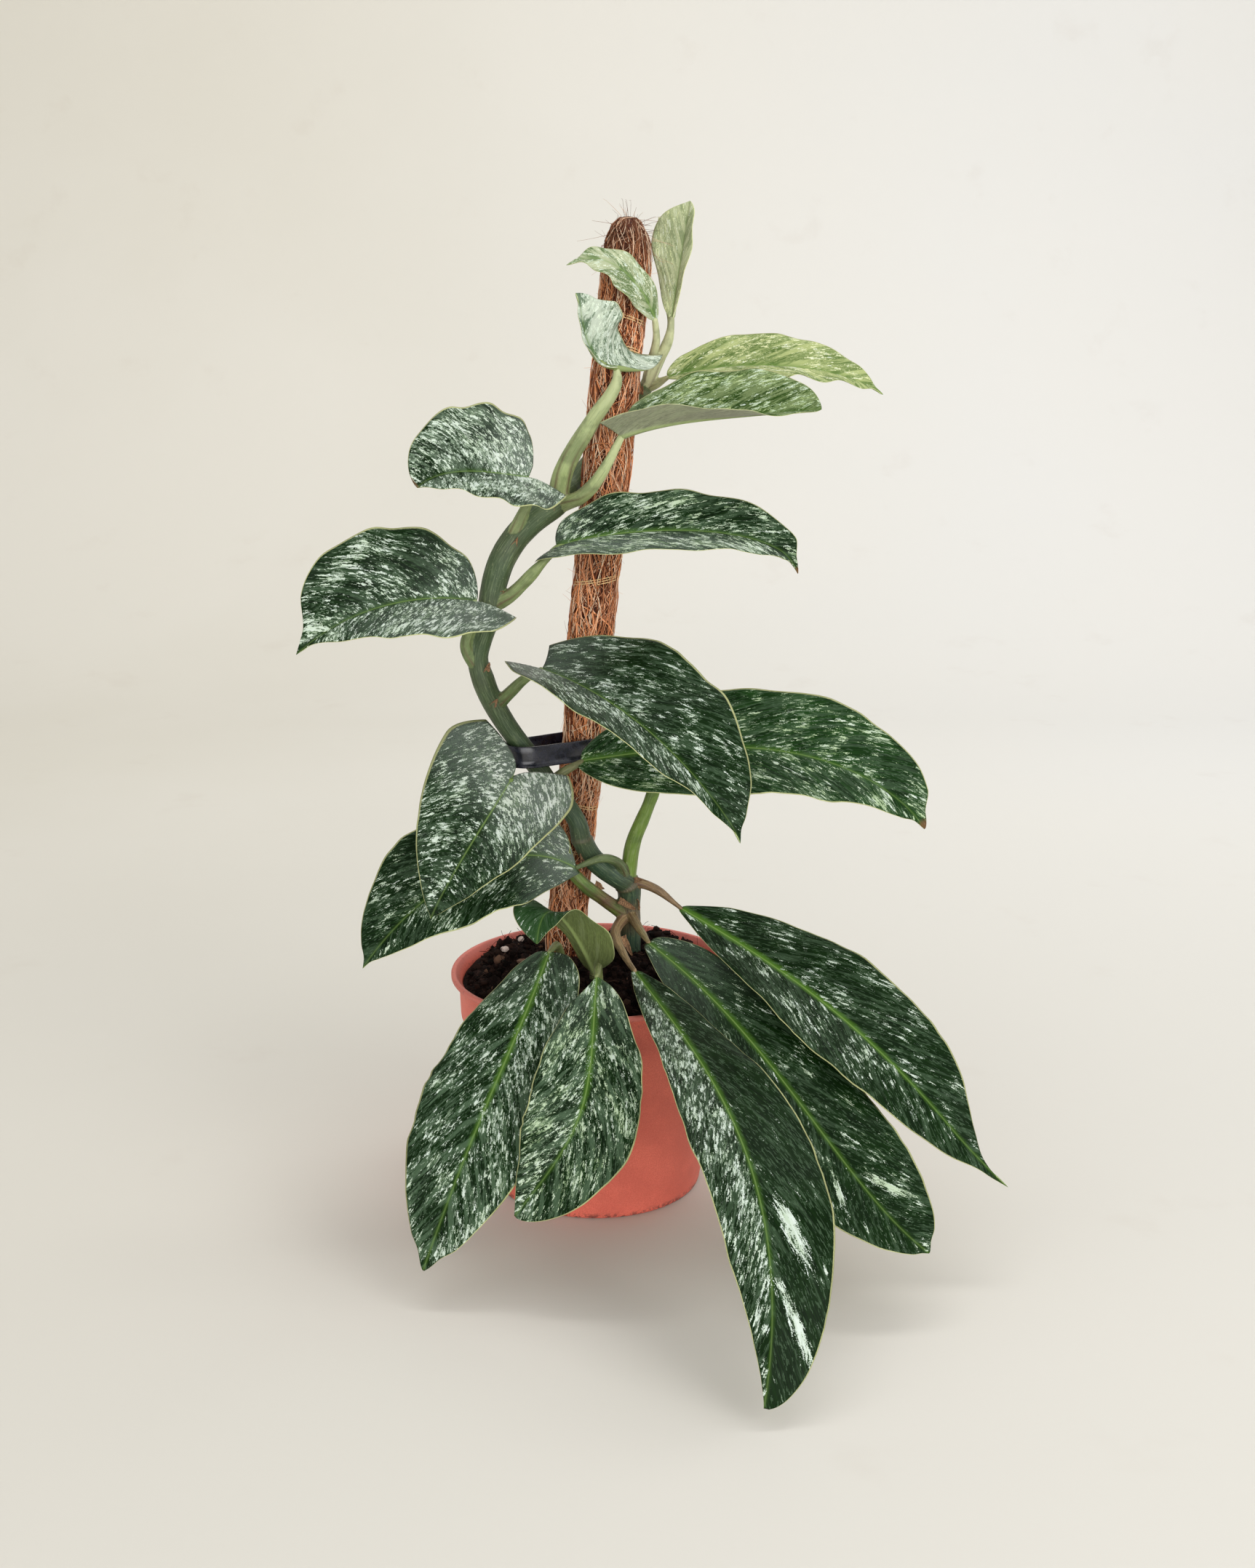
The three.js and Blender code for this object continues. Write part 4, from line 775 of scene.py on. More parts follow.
def fleckMarks(g, leaf, even, fine, blotch, patch):
    # how dense the flecks lie, the bright and dull marks they leave, grains of salt, and a tone for each
    look = g.look
    wobble = g.noise(even, 0.8, 3, 0.68, flat=True, color=True)

    def chipped(size, shift):
        wide = size[0] * g.steep * look["chip"]
        long = size[1] * look["chip"] * look["streak"] / g.steep
        stretched = g.scaled(g.flat, 1 / wide, 1 / long, 1, shift)
        swayed = g.scaled(wobble, flecks["sway"], flecks["sway"], 0)
        return g.chips(g.node("VectorMath", {0: stretched, 1: swayed}, operation="ADD").outputs[0])

    def marked(chance, chips):
        return g.fit(g.math("SUBTRACT", chance, chips[0]), -flecks["soft"], flecks["soft"])

    small = chipped(flecks["small"], (3, 1, 0))
    large = chipped(flecks["large"], (9, 5, 0))
    density = g.line(g.fit(g.side, -0.12, 0.12), look["right"] - look["left"], look["left"])
    density = g.line(g.along, look["tipward"], density)
    for *where, strength in look["more"]:
        density = g.line(g.spot(*where), strength, density)
    for *where, strength in look["sheen"]:
        density = g.line(g.spot(*where), flecks["sheenShare"] * strength, density)
    chance = g.line(density, flecks["byDensity"], flecks["base"])
    for noise, weight in ((blotch, "byBlotch"), (patch, "byPatch"), (fine, "byFine")):
        chance = g.line(noise, flecks[weight], chance)
    clear = look["ribClear"]
    chance = g.add(chance, g.fit(g.away, clear * 0.2, clear * 1.3, flecks["atRib"], 0.0))
    chance = g.add(chance, g.fit(g.across, 0.86, 1.0, 0.0, flecks["atMargin"]))
    smallMark = marked(chance, small)
    largeMark = marked(g.times(chance, flecks["largeShare"]), large)
    bright = g.most(g.times(smallMark, g.fit(small[1], 0.38, 1.0, 0.1, 1.0)), largeMark)
    dull = g.most(smallMark, largeMark)
    salt = g.times(g.fit(small[2], 0.80, 0.84), g.fit(g.away, 0.5, 2.5))
    for along, across, wide, long in look["splashes"]:
        start, away = ribSpot(leaf, along, across)
        dx = g.line(g.veinX, 100 / wide, -start / wide)
        dy = g.line(g.veinY, 100 / long, -away / long)
        gap = g.math("SQRT", g.squares(dx, dy))
        for noise, raggedness in ((blotch, -2.6), (fine, -2.4), (small[1], 0.9)):
            gap = g.add(gap, g.line(noise, raggedness, -raggedness / 2))
        bright = g.most(bright, g.fit(gap, 1.0, 0.86))
        dull = g.most(dull, g.fit(gap, 1.16, 0.98))
    return density, bright, dull, salt, small[1]


def leafTop(name, leaf, seed):
    g = BladeGraph(name, leaf, seed)
    look = g.look
    # place for noise that is not drawn out
    even = g.node("CombineXYZ", {"X": g.run, "Y": g.veinY}).outputs[0]
    even = g.scaled(even, 100, 100, 1, g.shift)
    fine = g.noise(even, 1.5, 4, 0.7, flat=True)
    blotch = g.scaled(g.flat, 0.38 / g.steep, 0.11 * g.steep / look["streak"], 1, (7, 3, 1))
    blotch = g.noise(blotch, 1.0, 3, 0.62, 0.3, flat=True)
    patch = g.noise(g.scaled(even, 0.055, 0.075, 1, (2, 9, 4)), 1.0, 2, 0.5, flat=True)
    density, bright, dull, salt, toneOfEach = fleckMarks(g, leaf, even, fine, blotch, patch)

    # green of the blade, lighter along the rib and in a soft cloud
    stripes = g.noise(g.scaled(g.flat, 0.7, 0.05), 1.0, 2, 0.5, flat=True)
    green = g.mix(g.fit(stripes, start=0.1, end=0.6), look["dark"], look["mid"])
    green = g.mix(g.times(g.fit(patch, 0.4, 0.62), 0.4), green, look["mid"])
    cloud = g.noise(g.scaled(g.flat, 0.14, 0.07, 1, (5, 5, 5)), 1.0, 4, 0.6, flat=True)
    cloud = g.times(g.fit(g.line(density, 0.08, cloud), 0.53, 0.68), look["haze"])
    green = g.mix(cloud, green, look["dull"])
    # painted sheen: a silvery-grey wash over the base and the sheen spots, standing for light reflected off
    # the blade
    silver = g.times(g.fit(g.along, look["paintedSheenReach"], 0.0), look["silver"])
    for *where, strength in look["sheen"]:
        silver = g.line(g.spot(*where), strength, silver)
    silver = g.least(g.times(silver, g.fit(fine, 0.32, 0.6, 0.45, 1.0)), 0.9)
    green = g.mix(silver, green, (104, 114, 106))
    bandWidth = g.line(blotch, 3.0, g.line(g.along, -2.6, 2.9))
    band = g.fit(g.math("DIVIDE", g.away, bandWidth), 1.0, 0.05)
    band = g.times(g.times(band, g.fit(g.along, 0.98, 0.25, 0.3, 1.0)), look["glow"])
    green = g.mix(band, green, (78, 116, 40))

    # tone of the flecks, silvery or lime, and whiter under the painted sheen
    tone = g.mix(g.fit(blotch, 0.42, 0.62), look["fleck"], (203, 213, 208))
    tone = g.mix(g.times(silver, 0.8), tone, (222, 226, 224))
    lime = g.noise(g.scaled(g.flat, 0.07, 0.07), 1.0, 3, 0.5, flat=True)
    lime = g.times(g.fit(lime, 0.4, 0.62), look["limeShare"])
    lime = g.most(lime, g.times(g.fit(g.across, 0.55, 1.0), 0.7 * look["limeShare"]))
    lime = g.least(g.most(lime, g.times(toneOfEach, look["limeShare"])), 1.0)
    tone = g.mix(lime, tone, look["lime"])
    g.color = g.mix(g.times(salt, 0.4), green, look["dull"])
    g.over(g.mix(lime, look["dull"], (92, 120, 62)), dull, 0.8)
    g.over(tone, bright, 0.92)

    # rib, margin and drip tip
    g.over((122, 148, 82), g.fit(g.away, 0.62, 0.25), g.fit(g.along, 1.0, 0.1, 0.2, 0.6))
    g.over(look["margin"], g.fit(g.line(fine, 0.012, g.across), 0.98, 0.992), 0.9)
    g.over((104, 72, 48), g.fit(g.along, 0.975, 0.99), look["brownTip"])
    normal = g.bump(g.add(g.times(g.ridges, 0.10), g.times(fine, 0.35)), 0.0003, 0.35)
    normal = g.bump(g.noise(g.flat, 3.2, 2, 0.5), 0.0001, 0.25, normal)
    rough = g.fit(g.noise(g.flat, 0.3, 3, 0.6), 0.3, 0.7, look["rough"] - 0.05, look["rough"] + 0.08)
    rough = g.add(rough, g.times(bright, 0.05))
    return g.finish(rough, normal, Specular_IOR_Level=0.06)


def leafUnder(name, leaf, seed):
    g = BladeGraph(name, leaf, seed)
    base = g.look["under"]
    streak = g.noise(g.scaled(g.flat, 0.6, 0.1), 1.0, 4, 0.6)
    g.color = g.mix(g.fit(streak), [part * 0.82 for part in base], base)
    pale = g.noise(g.scaled(g.flat, 0.12, 0.07), 1.0, 4, 0.6)
    g.over((138, 150, 112), g.fit(pale, 0.5, 0.62), 0.35)
    # the flecks of the upper side, showing through
    ghost = g.chips(g.scaled(g.flat, 0.85, 1.3))
    ghost = g.fit(g.math("SUBTRACT", g.times(pale, 1.1), ghost[0]), -0.05, 0.1)
    g.over([min(255, part * 1.16 + 14) for part in base], ghost, 0.25)
    g.over((134, 150, 92), g.fit(g.away, 2.2, 0.8, 0.0, 0.75))
    g.over(g.look["margin"], g.fit(g.across, 0.965, 0.99), 0.7)
    normal = g.bump(g.add(g.times(g.ridges, 0.2), streak), 0.0003, 0.4)
    return g.finish(0.5, normal, Specular_IOR_Level=0.4)


for index, leaf in enumerate(leaves):
    plain = leaf["name"].replace("leaf_", "").replace("_", " ")
    skins = [leafTop(plain + " blade", leaf, index + 1), leafUnder(plain + " underside", leaf, index + 1)]
    stands(makeLeaf(leaf, index, skins), leaf["slot"], leaf["name"])
print("leaves grown:", len(leaves))


# Stem and leaf stalks: limbs grown together, with ring scars where a leaf leaves
stem = {
    "voxel": 0.72,          # mm of the mesh that grows the limbs together
    "sides": 20,
    "steps": 8,
    "runGap": 71.0,         # keeps the grain of one limb apart from the next
    "scarHeight": 0.55,     # ring scars, lumps and sheaths, mm
    "scarWidth": 1.1,
    "scarReach": 14,
    "ridges": 0.16,
    "lumps": 0.35,
    "sheathEdge": 0.35,
    "channel": 0.45,
    "shrunk": 0.5,          # how far a dry stalk sinks in
    "stalkInto": 1.0,       # how far a stalk reaches into its blade
    "main": [
        (19.5, 14, 108, 6.2), (19.5, 14, 138.6, 6.5), (19.1, 12, 161.8, 6.5), (17.8, 9, 178.3, 7),
        (10.6, 5, 184.3, 6.5), (-2, 1, 196, 6), (-8.1, -3, 208, 5.8), (-11.3, -5, 220.1, 5.5),
        (-34.5, -8, 254.1, 5.5), (-52.7, -12, 282.1, 6), (-62.1, -16, 303.4, 6.5), (-64.6, -17, 315.8, 6),
        (-59.8, -18, 333.4, 5.8), (-55.9, -18, 352.2, 6.8), (-49.7, -16, 371.9, 7.2),
        (-36.6, -12, 388.5, 7.5), (-21, -2, 400.3, 7.5), (-12.4, 20, 407.6, 6), (4.7, 30, 430.5, 5.5),
        (17.8, 30, 446.5, 5.2), (27.5, 24, 460.5, 5)],
    "tip": [
        (27.5, 24, 460.5, 4), (38, 19, 482, 3), (41.7, 17, 495.6, 2.2), (36.9, 18, 518.7, 1.9),
        (34, 18, 539.6, 1.4), (35.1, 16, 551.5, 0.7)],
    "behind": [
        (17.8, 9, 180, 5), (21.2, 6, 203.4, 4.5), (27, 3, 219.4, 4.1), (32.8, 1, 235, 3.7),
        (35.2, 0, 247.2, 3.3)],
    "tones": {              # how brown, how dry and how fresh a green each leaf stalk is
        "leaf_far_right": (0.95, 0.35, 0.0), "leaf_low_right": (0.6, 0.5, 0.2),
        "leaf_tongue": (0.75, 0.8, 0.0), "leaf_lime": (0.35, 0.1, 0.3), "leaf_hook": (0.3, 0.1, 0.0),
        "leaf_heart": (0.0, 0.0, 0.8), "leaf_wing": (0.0, 0.05, 0.0)},
    # age from the foot to the end of a limb, brown, dry, fresh, sheathed
    "limbs": {
        "main": (0.0, 0.5, 0.0, 0.0, 0.0, 0.0), "tip": (1.0, 1.5, 0.0, 0.0, 0.3, 0.4),
        "behind": (0.45, 0.6, 0.0, 0.0, 1.0, 0.3)},
    "ownStalk": (0.5, 0.8, 0.15, 0.1, 0.3, 0.6),
    "paler": {              # added to the age of a young leaf's stalk
        "leaf_spear": 0.35, "leaf_crown": 0.3, "leaf_silver": 0.05, "leaf_keel": 0.05, "leaf_lime": 0.1},
    "brownSpots": [((18.5, 11, 159), 11, 0.8), ((3.8, 4, 170.5), 9, 0.9), ((10, -2, 152), 8, 0.5),
                   ((17.8, 9, 180), 6, 0.5)],
}


def stalkRows(leaf):
    # the stalk's rows, carried on to the base of the rib
    thick, thin = leaf["stalkRadius"]
    stops = np.array(leaf["stalk"], dtype=float)
    ribPlaces, ribAlong = ribPoints(leaf["rib"], np.array([0.0]))
    end = ribPlaces[0] + ribAlong[0] * stem["stalkInto"]
    stops = np.vstack([stops, end])
    share = np.linspace(0, 1, len(stops))
    radii = thick + (thin - thick) * share
    radii[-1] = thin * 0.72
    return np.column_stack([stops, radii])


def limbSamples(rows, steps):
    # the path of a limb, and the same path every 0.8 mm
    centres, radii = smoothPath(rows, steps)
    lengths = distances(centres)
    spots = np.arange(0, lengths[-1], 0.8)
    dense = between(spots, lengths, centres)
    return centres, radii, dense, np.interp(spots, lengths, radii), spots, lengths[-1]


def growLimbs(name, limbs, slot, material, replaced, scars):
    # limbs is a list of (rows, ageFrom, ageTo, brown, dry, fresh, sheathed)
    bodies = []
    parts = []
    for index, (rows, ageFrom, ageTo, brown, dry, fresh, sheathed) in enumerate(limbs):
        centres, radii, dense, denseRadii, spots, length = limbSamples(rows, stem["steps"])
        bodies.append(tube(centres, radii, stem["sides"]))
        along = tangents(dense)
        across, up = crossFrames(along)
        every = np.ones(len(dense))
        parts.append({
            "place": dense, "radius": denseRadii, "run": spots + index * stem["runGap"],
            "along": along, "across": across, "up": up,
            "age": ageFrom + (ageTo - ageFrom) * spots / length,
            "brown": brown * every, "dry": dry * every, "fresh": fresh * every,
            "sheath": sheathed * np.clip(1.6 - 2.6 * spots / length, 0, 1)})
    samples = {key: np.concatenate([part[key] for part in parts]) for key in parts[0]}
    piece = makePiece(name, *joined(bodies), [material])
    applied(piece, ("REMESH", {"mode": "VOXEL", "voxel_size": stem["voxel"] * mm, "use_smooth_shade": True}),
            ("SMOOTH", {"factor": 0.5, "iterations": 5}))
    mesh = piece.data
    points = meshVectors(mesh, "co") / mm
    normals = meshVectors(mesh, "normal")

    # each point takes its values from the nearest limb
    nearest = np.empty(len(points), dtype=int)
    for start in range(0, len(points), 4000):
        part = points[start:start + 4000]
        gaps = np.linalg.norm(part[:, None] - samples["place"][None], axis=2) - samples["radius"]
        nearest[start:start + 4000] = gaps.argmin(axis=1)
    at = {key: values[nearest] for key, values in samples.items()}
    offsets = points - at["place"]
    angle = np.arctan2((offsets * at["up"]).sum(axis=1), (offsets * at["across"]).sum(axis=1))
    grain = np.column_stack([
        at["run"] / 10, np.cos(angle) * at["radius"] / 3, np.sin(angle) * at["radius"] / 3])

    # the sheath of a stalk: a channel on its front between two raised edges
    toView = np.array([0.25, -0.8, 0.5])
    upward = unit(toView - (at["along"] @ toView)[:, None] * at["along"])
    sideways = np.cross(at["along"], upward)
    turned = np.arctan2((offsets * sideways).sum(axis=1), (offsets * upward).sum(axis=1))
    edge = np.exp(-((np.abs(turned) - 0.62) / 0.17) ** 2) * at["sheath"]
    channel = np.exp(-(turned / 0.42) ** 2) * at["sheath"]

    # ridges along the limb, soft lumps and the ring scars
    ridged = np.column_stack([at["run"] / 14, grain[:, 1:] * 2.4])
    rise = stem["ridges"] * softNoise(ridged, 1.0, 3) + stem["lumps"] * softNoise(points, 9.0, 5)
    rise += stem["sheathEdge"] * edge - stem["channel"] * channel
    rise -= stem["shrunk"] * at["dry"] * np.abs(softNoise(grain * np.array([0.8, 2.2, 2.2]), 1.0, 7))
    scar = np.zeros(len(points))
    node = np.zeros(len(points))
    for place, strength in scars:
        gap = np.linalg.norm(points - np.array(place), axis=1)
        near = gap < stem["scarReach"]
        if not near.any():
            continue
        centre = np.linalg.norm(samples["place"] - np.array(place), axis=1).argmin()
        level = at["run"] - samples["run"][centre] + 1.2 * np.cos(angle + place[2])
        ring = np.exp(-(level / stem["scarWidth"]) ** 2) - 0.7 * np.exp(-((level - 2.3) / 1.4) ** 2)
        swell = 0.5 * np.exp(-(level / 5) ** 2)
        rise[near] += (strength * (stem["scarHeight"] * ring + swell))[near]
        node = np.maximum(node, np.exp(-(gap / 9) ** 2))
        scar[near] = np.maximum(scar[near], strength * np.exp(-((level[near] - 0.8) / 1.3) ** 2))
    points = points + normals * rise[:, None]
    mesh.vertices.foreach_set("co", (points * mm).ravel())
    mesh.update()
    brown = at["brown"]
    for place, reach, strength in stem["brownSpots"]:
        gap = np.linalg.norm(points - np.array(place), axis=1)
        brown = np.maximum(brown, strength * np.clip(1.3 - gap / reach, 0, 1))
    addValues(mesh, {"grain": grain, "age": at["age"], "brown": brown, "dry": at["dry"],
                     "fresh": at["fresh"], "scar": scar, "node": node, "edge": edge})
    shadeSmooth(mesh)
    stands(piece, slot, *replaced)


def stemSkin(name):
    g = Graph(name)
    grain = g.value("grain", "Vector")
    age = g.value("age")
    lines = g.noise(g.scaled(grain, 1.2, 5.5, 5.5), 1.0, 4, 0.6)
    spots = g.noise(g.place(), 0.9, 3, 0.6)
    patches = g.noise(g.place(), 0.09, 3, 0.55)
    g.color = g.mix(g.fit(age, 0.0, 0.3), (36, 62, 50), (52, 72, 40))
    g.over((92, 110, 66), g.fit(age, 0.3, 0.6))
    g.over((146, 160, 106), g.fit(age, 0.6, 1.0))
    g.over((204, 206, 164), g.fit(age, 1.0, 1.4))
    g.over((66, 62, 42), g.value("node"), g.fit(patches, 0.3, 0.6, 0.15, 0.6))
    g.over((104, 132, 44), g.value("fresh"), 0.85)
    g.over(g.mix(age, (112, 134, 92), (178, 182, 138)), g.fit(lines, 0.44, 0.7), 0.38)
    g.over((34, 50, 26), g.fit(lines, 0.45, 0.28), 0.35)
    g.over((50, 68, 38), g.fit(patches, 0.45, 0.65), 0.4)
    brown = g.least(g.times(g.value("brown"), g.fit(patches, 0.2, 0.55, 0.6, 1.2)), 1.0)
    g.over(g.mix(g.fit(lines), (72, 52, 38), (118, 92, 62)), brown)
    g.over((164, 138, 98), g.value("dry"), g.fit(lines, 0.35, 0.65, 0.2, 1.0))
    g.over((78, 44, 34), g.value("edge"), g.fit(lines, 0.25, 0.6, 0.45, 1.0), 0.8)
    g.over((92, 74, 50), g.value("scar"), g.fit(spots, 0.3, 0.6, 0.5, 1.0), 0.85)
    g.over((168, 172, 128), g.fit(spots, 0.64, 0.72), 0.4)
    normal = g.bump(lines, 0.0006, 0.5)
    normal = g.bump(spots, 0.0002, 0.3, normal)
    rough = g.fit(patches, start=0.42, end=0.58)
    return g.finish(rough, normal, Specular_IOR_Level=0.45)


stemMaterial = stemSkin("stem skin")
stalkMaterial = stemSkin("basal stalk skin")
limbs = [(stem[part], *stem["limbs"][part]) for part in ("main", "tip", "behind")]
scars = [((17.8, 9, 178.3), 0.9), ((-8.1, -3, 208), 0.5)]
for leaf in leaves:
    if "ownStalk" in leaf:
        continue
    tones = stem["tones"].get(leaf["name"], (0.0, 0.0, 0.1))
    height = min(1.0, max(0.35, (leaf["stalk"][0][2] - 100) / 330)) + stem["paler"].get(leaf["name"], 0.0)
    limbs.append((stalkRows(leaf), height, height + 0.25, *tones, 1.0))
    scars.append((tuple(leaf["stalk"][0]), 0.9))
growLimbs("climbing_stem_grown", limbs, "stem_green", stemMaterial, ["climbing_stem"], scars)
for leaf in leaves:
    if "ownStalk" in leaf:
        rows = [(stalkRows(leaf), *stem["ownStalk"])]
        growLimbs(leaf["ownStalk"] + "_grown", rows, "stalk_green", stalkMaterial, [leaf["ownStalk"]], [])


# Dried scraps of old sheath that cling to the nodes
scraps = [
    # place, direction it points, side it lies to, length and width in mm
    ((22.5, 9, 163), (0.2, -0.3, 1), (0, -1, 0), 8, 5),
    ((1.5, 1.5, 176.5), (-0.3, -0.2, 1), (0.3, -1, 0), 7, 5),
    ((13, 3, 170), (0.9, -0.3, -0.4), (0, -1, 0.2), 12, 4),
    ((15, -6, 151), (0.5, -0.4, -1), (0.3, -1, 0), 13, 4),
    ((-53.5, -21, 350), (0.7, -0.2, 0.7), (0.2, -1, 0), 6, 4),
    ((-57, -19, 289), (0.6, -0.2, 0.9), (0, -1, 0), 6, 3),
    ((-60, -21, 309), (0.3, -0.4, 1), (0.5, -1, 0), 7, 3),
    ((-44, -20.5, 377), (0.4, -0.3, 1), (0.3, -1, 0), 7, 3),
    ((-28, -14, 247), (0.8, -0.3, 0.3), (0, -1, 0.4), 6, 3),
    ((22, 3, 182), (0.9, -0.4, 0.2), (0, -1, 0.3), 6, 3),
    ((-6, -4, 196), (-0.6, -0.2, 0.8), (0, -1, 0.3), 6, 4),
    ((6, 2, 188), (-0.4, 0.1, 1), (0, -1, 0), 6, 3.5),
    ((-24, -12, 396), (0.5, -0.2, 1), (0.2, -1, 0), 7, 3),
    ((25, 18, 458), (0.3, -0.3, 1), (0, -1, 0), 5, 3),
]
scrapGrid = (14, 9)         # rows and columns of each scrap


def makeScraps():
    bodies = []
    rows, columns = scrapGrid
    for index, (place, ahead, face, long, wide) in enumerate(scraps):
        ahead = unit(np.array(ahead, dtype=float))
        face = np.array(face, dtype=float)
        face = unit(face - (face @ ahead) * ahead)
        side = np.cross(ahead, face)
        s, t = np.meshgrid(np.linspace(0, 1, rows), np.linspace(-1, 1, columns), indexing="ij")
        spots = np.column_stack([s.ravel() * 4, t.ravel() * 2, np.full(s.size, index * 9.0)])
        ragged = softNoise(spots, 0.8, index).reshape(s.shape)
        half = wide / 2 * (1 - s ** 1.6) ** 0.7 * (1 + 0.35 * ragged * np.abs(t)) + 0.05
        curl = 0.12 * long * s ** 2 + wide * 0.22 * t ** 2 + 0.35 * ragged
        points = (np.array(place) + ahead * (s * long)[..., None] + side * (t * half)[..., None]
                  + face * curl[..., None]).reshape(-1, 3)
        bodies.append((points, gridFaces(rows, columns).tolist()))
    return joined(bodies)


def scrapSkin(name):
    g = Graph(name)
    place = g.place()
    fine = g.noise(g.scaled(place, 1.4, 1.4, 0.5), 1.0, 4, 0.65)
    g.color = g.mix(g.fit(fine), (74, 48, 34), (166, 128, 90))
    return g.finish(g.fit(fine, start=0.6, end=0.85), g.bump(fine, 0.0005, 0.7))


scrapPiece = makePiece("sheath_scraps", *makeScraps(), [scrapSkin("dried sheath")])
applied(scrapPiece, ("SOLIDIFY", {"thickness": 0.18 * mm, "offset": 0.0}))
stands(scrapPiece, "stem_green")
print("stem, stalks and scraps grown")


# Pot: one moulded wall turned round, with collar band and rolled lip
pot = {
    "sides": 200,
    "profile": [            # radius and height, from the foot round the lip to the inner floor
        (56.6, 0.0), (59.8, 0.0), (60.8, 0.5), (61.2, 1.4), (61.6, 4.0), (70.1, 53.0), (78.8, 103.5),
        (79.0, 103.9), (79.6, 104.3), (79.8, 106.0), (80.1, 115.0), (80.5, 126.5), (84.2, 127.0),
        (84.8, 127.3), (85.0, 127.8), (85.0, 129.2), (84.8, 129.7), (84.2, 130.0), (82.8, 130.0),
        (82.3, 129.8), (82.0, 129.2), (78.9, 125.5), (78.4, 114.0), (78.0, 104.3), (77.2, 103.5),
        (68.5, 53.0), (59.8, 3.2), (58.6, 2.0)],
}


def turned(profile, sides, footHeight, innerHeight):
    # closed body of revolution from a profile that starts at the foot and ends at the inner floor
    profile = np.array(profile)
    angle = fullTurn(sides)
    ring = np.stack([np.cos(angle), np.sin(angle)], axis=1)
    flat = profile[:, None, 0:1] * ring[None]
    high = np.broadcast_to(profile[:, None, 1:2], (len(profile), sides, 1))
    points = np.concatenate([flat, high], axis=2).reshape(-1, 3)
    return closedRings(points, len(profile), sides, [0, 0, footHeight], [0, 0, innerHeight])


def potPlastic(name):
    g = Graph(name)
    place = g.place()
    high = g.split(place)[2]
    grain = g.noise(place, 1.7, 3, 0.65)
    fine = g.noise(place, 5.5, 2, 0.6)
    cloud = g.noise(place, 0.035, 4, 0.55)
    g.color = g.mix(g.fit(grain), (216, 100, 84), (236, 124, 104))
    g.over((190, 86, 72), g.fit(cloud, 0.4, 0.65), 0.35)
    # painted shade: duller, darker pink over the lip
    g.over((190, 110, 100), g.fit(high, 125.5, 128.5), 0.6)
    g.over((226, 168, 148), g.fit(g.noise(place, 3.1, 2, 0.5), 0.70, 0.74), 0.35)
    dust = g.times(g.fit(g.noise(place, 0.5, 5, 0.65), 0.56, 0.72), g.fit(high, 108, 129))
    g.over((88, 50, 42), dust, 0.5)
    # darker at the foot: soil smudges, and painted contact shade where the pot meets the floor
    low = g.times(g.fit(high, 5, 0.4), g.fit(g.noise(place, 0.4, 4, 0.6), 0.45, 0.6))
    g.over((58, 40, 38), low, 0.8)
    scratch = g.noise(g.scaled(place, 0.5, 0.5, 0.06), 0.4, 4, 0.6)
    g.over((216, 132, 112), g.fit(scratch, 0.68, 0.71), 0.4)
    normal = g.bump(grain, 0.00025, 0.5)
    normal = g.bump(fine, 0.0001, 0.4, normal)
    rough = g.fit(grain, start=0.46, end=0.62)
    return g.finish(rough, normal, Specular_IOR_Level=0.42)


potForm = turned(pot["profile"], pot["sides"], 0.0, 2.0)
stands(makePiece("pot_turned", *potForm, [potPlastic("red pot plastic")]), "terracotta_plastic", "pot")
print("pot turned")


# Soil: mounded peat with crumbs and threads lying on it
soil = {
    "rings": 110,
    "sides": 300,
    "topRadius": 78.2,
    "wallPoints": [(58.2, 2.35), (59.8, 4.2), (76.85, 103.5), (77.65, 104.9)],      # radius, height
    "reach": 80.5,          # radius that the mound is measured by, mm
    "level": 122.5,         # height at the wall
    "mound": 9,             # rise to the middle
    "backRise": 3,          # rise to the back
    "ripple": 1.1,
    "heaps": [(-52, 30, 9, 18), (37, 46, 8, 17), (14, 12, 5, 14)],      # x, y, height, spread
    "crumbs": 1800,
    "crumbReach": 74.5,
    "crumbSize": (0.7, 2.7),    # the least, and how much larger the largest are
    "threads": 1000,
    "threadReach": 70,
    "threadSteps": 6,
}


def soilHeight(x, y):
    share = np.minimum(1, np.hypot(x, y) / soil["reach"])
    inside = 1 - share ** 6
    height = soil["level"] + soil["mound"] * (1 - share ** 2) + soil["backRise"] * y / soil["reach"]
    for hx, hy, rise, spread in soil["heaps"]:
        height = height + rise * inside * np.exp(-((x - hx) ** 2 + (y - hy) ** 2) / spread ** 2)
    ripple = np.sin(0.37 * x + 1.3) * np.cos(0.31 * y + 0.4) + np.sin(0.21 * (x + y) + 0.12 * x)
    return height + soil["ripple"] * ripple * inside


def soilRough(x, y):
    # lumps and crumbs of the surface, fading out at the wall
    flat = np.column_stack([x, y, np.zeros(len(x))])
    inside = np.clip((78.0 - np.hypot(x, y)) / 4, 0, 1)
    rise = 2.0 * softNoise(flat, 7.5, 2) + 1.3 * softNoise(flat, 3.4, 3)
    return (rise + 0.7 * np.abs(softNoise(flat, 1.7, 4))) * inside


def makeSoil():
    # up the wall from the foot, then over the mound to its middle
    sides = soil["sides"]
    wall = np.array(soil["wallPoints"])
    mound = np.linspace(1, 0, soil["rings"] + 1)[:-1] * soil["topRadius"]
    radius, turn = np.meshgrid(np.concatenate([wall[:, 0], mound]), fullTurn(sides), indexing="ij")
    x = (radius * np.cos(turn)).ravel()
    y = (radius * np.sin(turn)).ravel()
    z = soilHeight(x, y) + soilRough(x, y)
    z[:len(wall) * sides] = np.repeat(wall[:, 1], sides)
    middle = [0, 0, float(soilHeight(0.0, 0.0))]
    return closedRings(np.column_stack([x, y, z]), len(radius), sides, [0, 0, wall[0, 1]], middle)


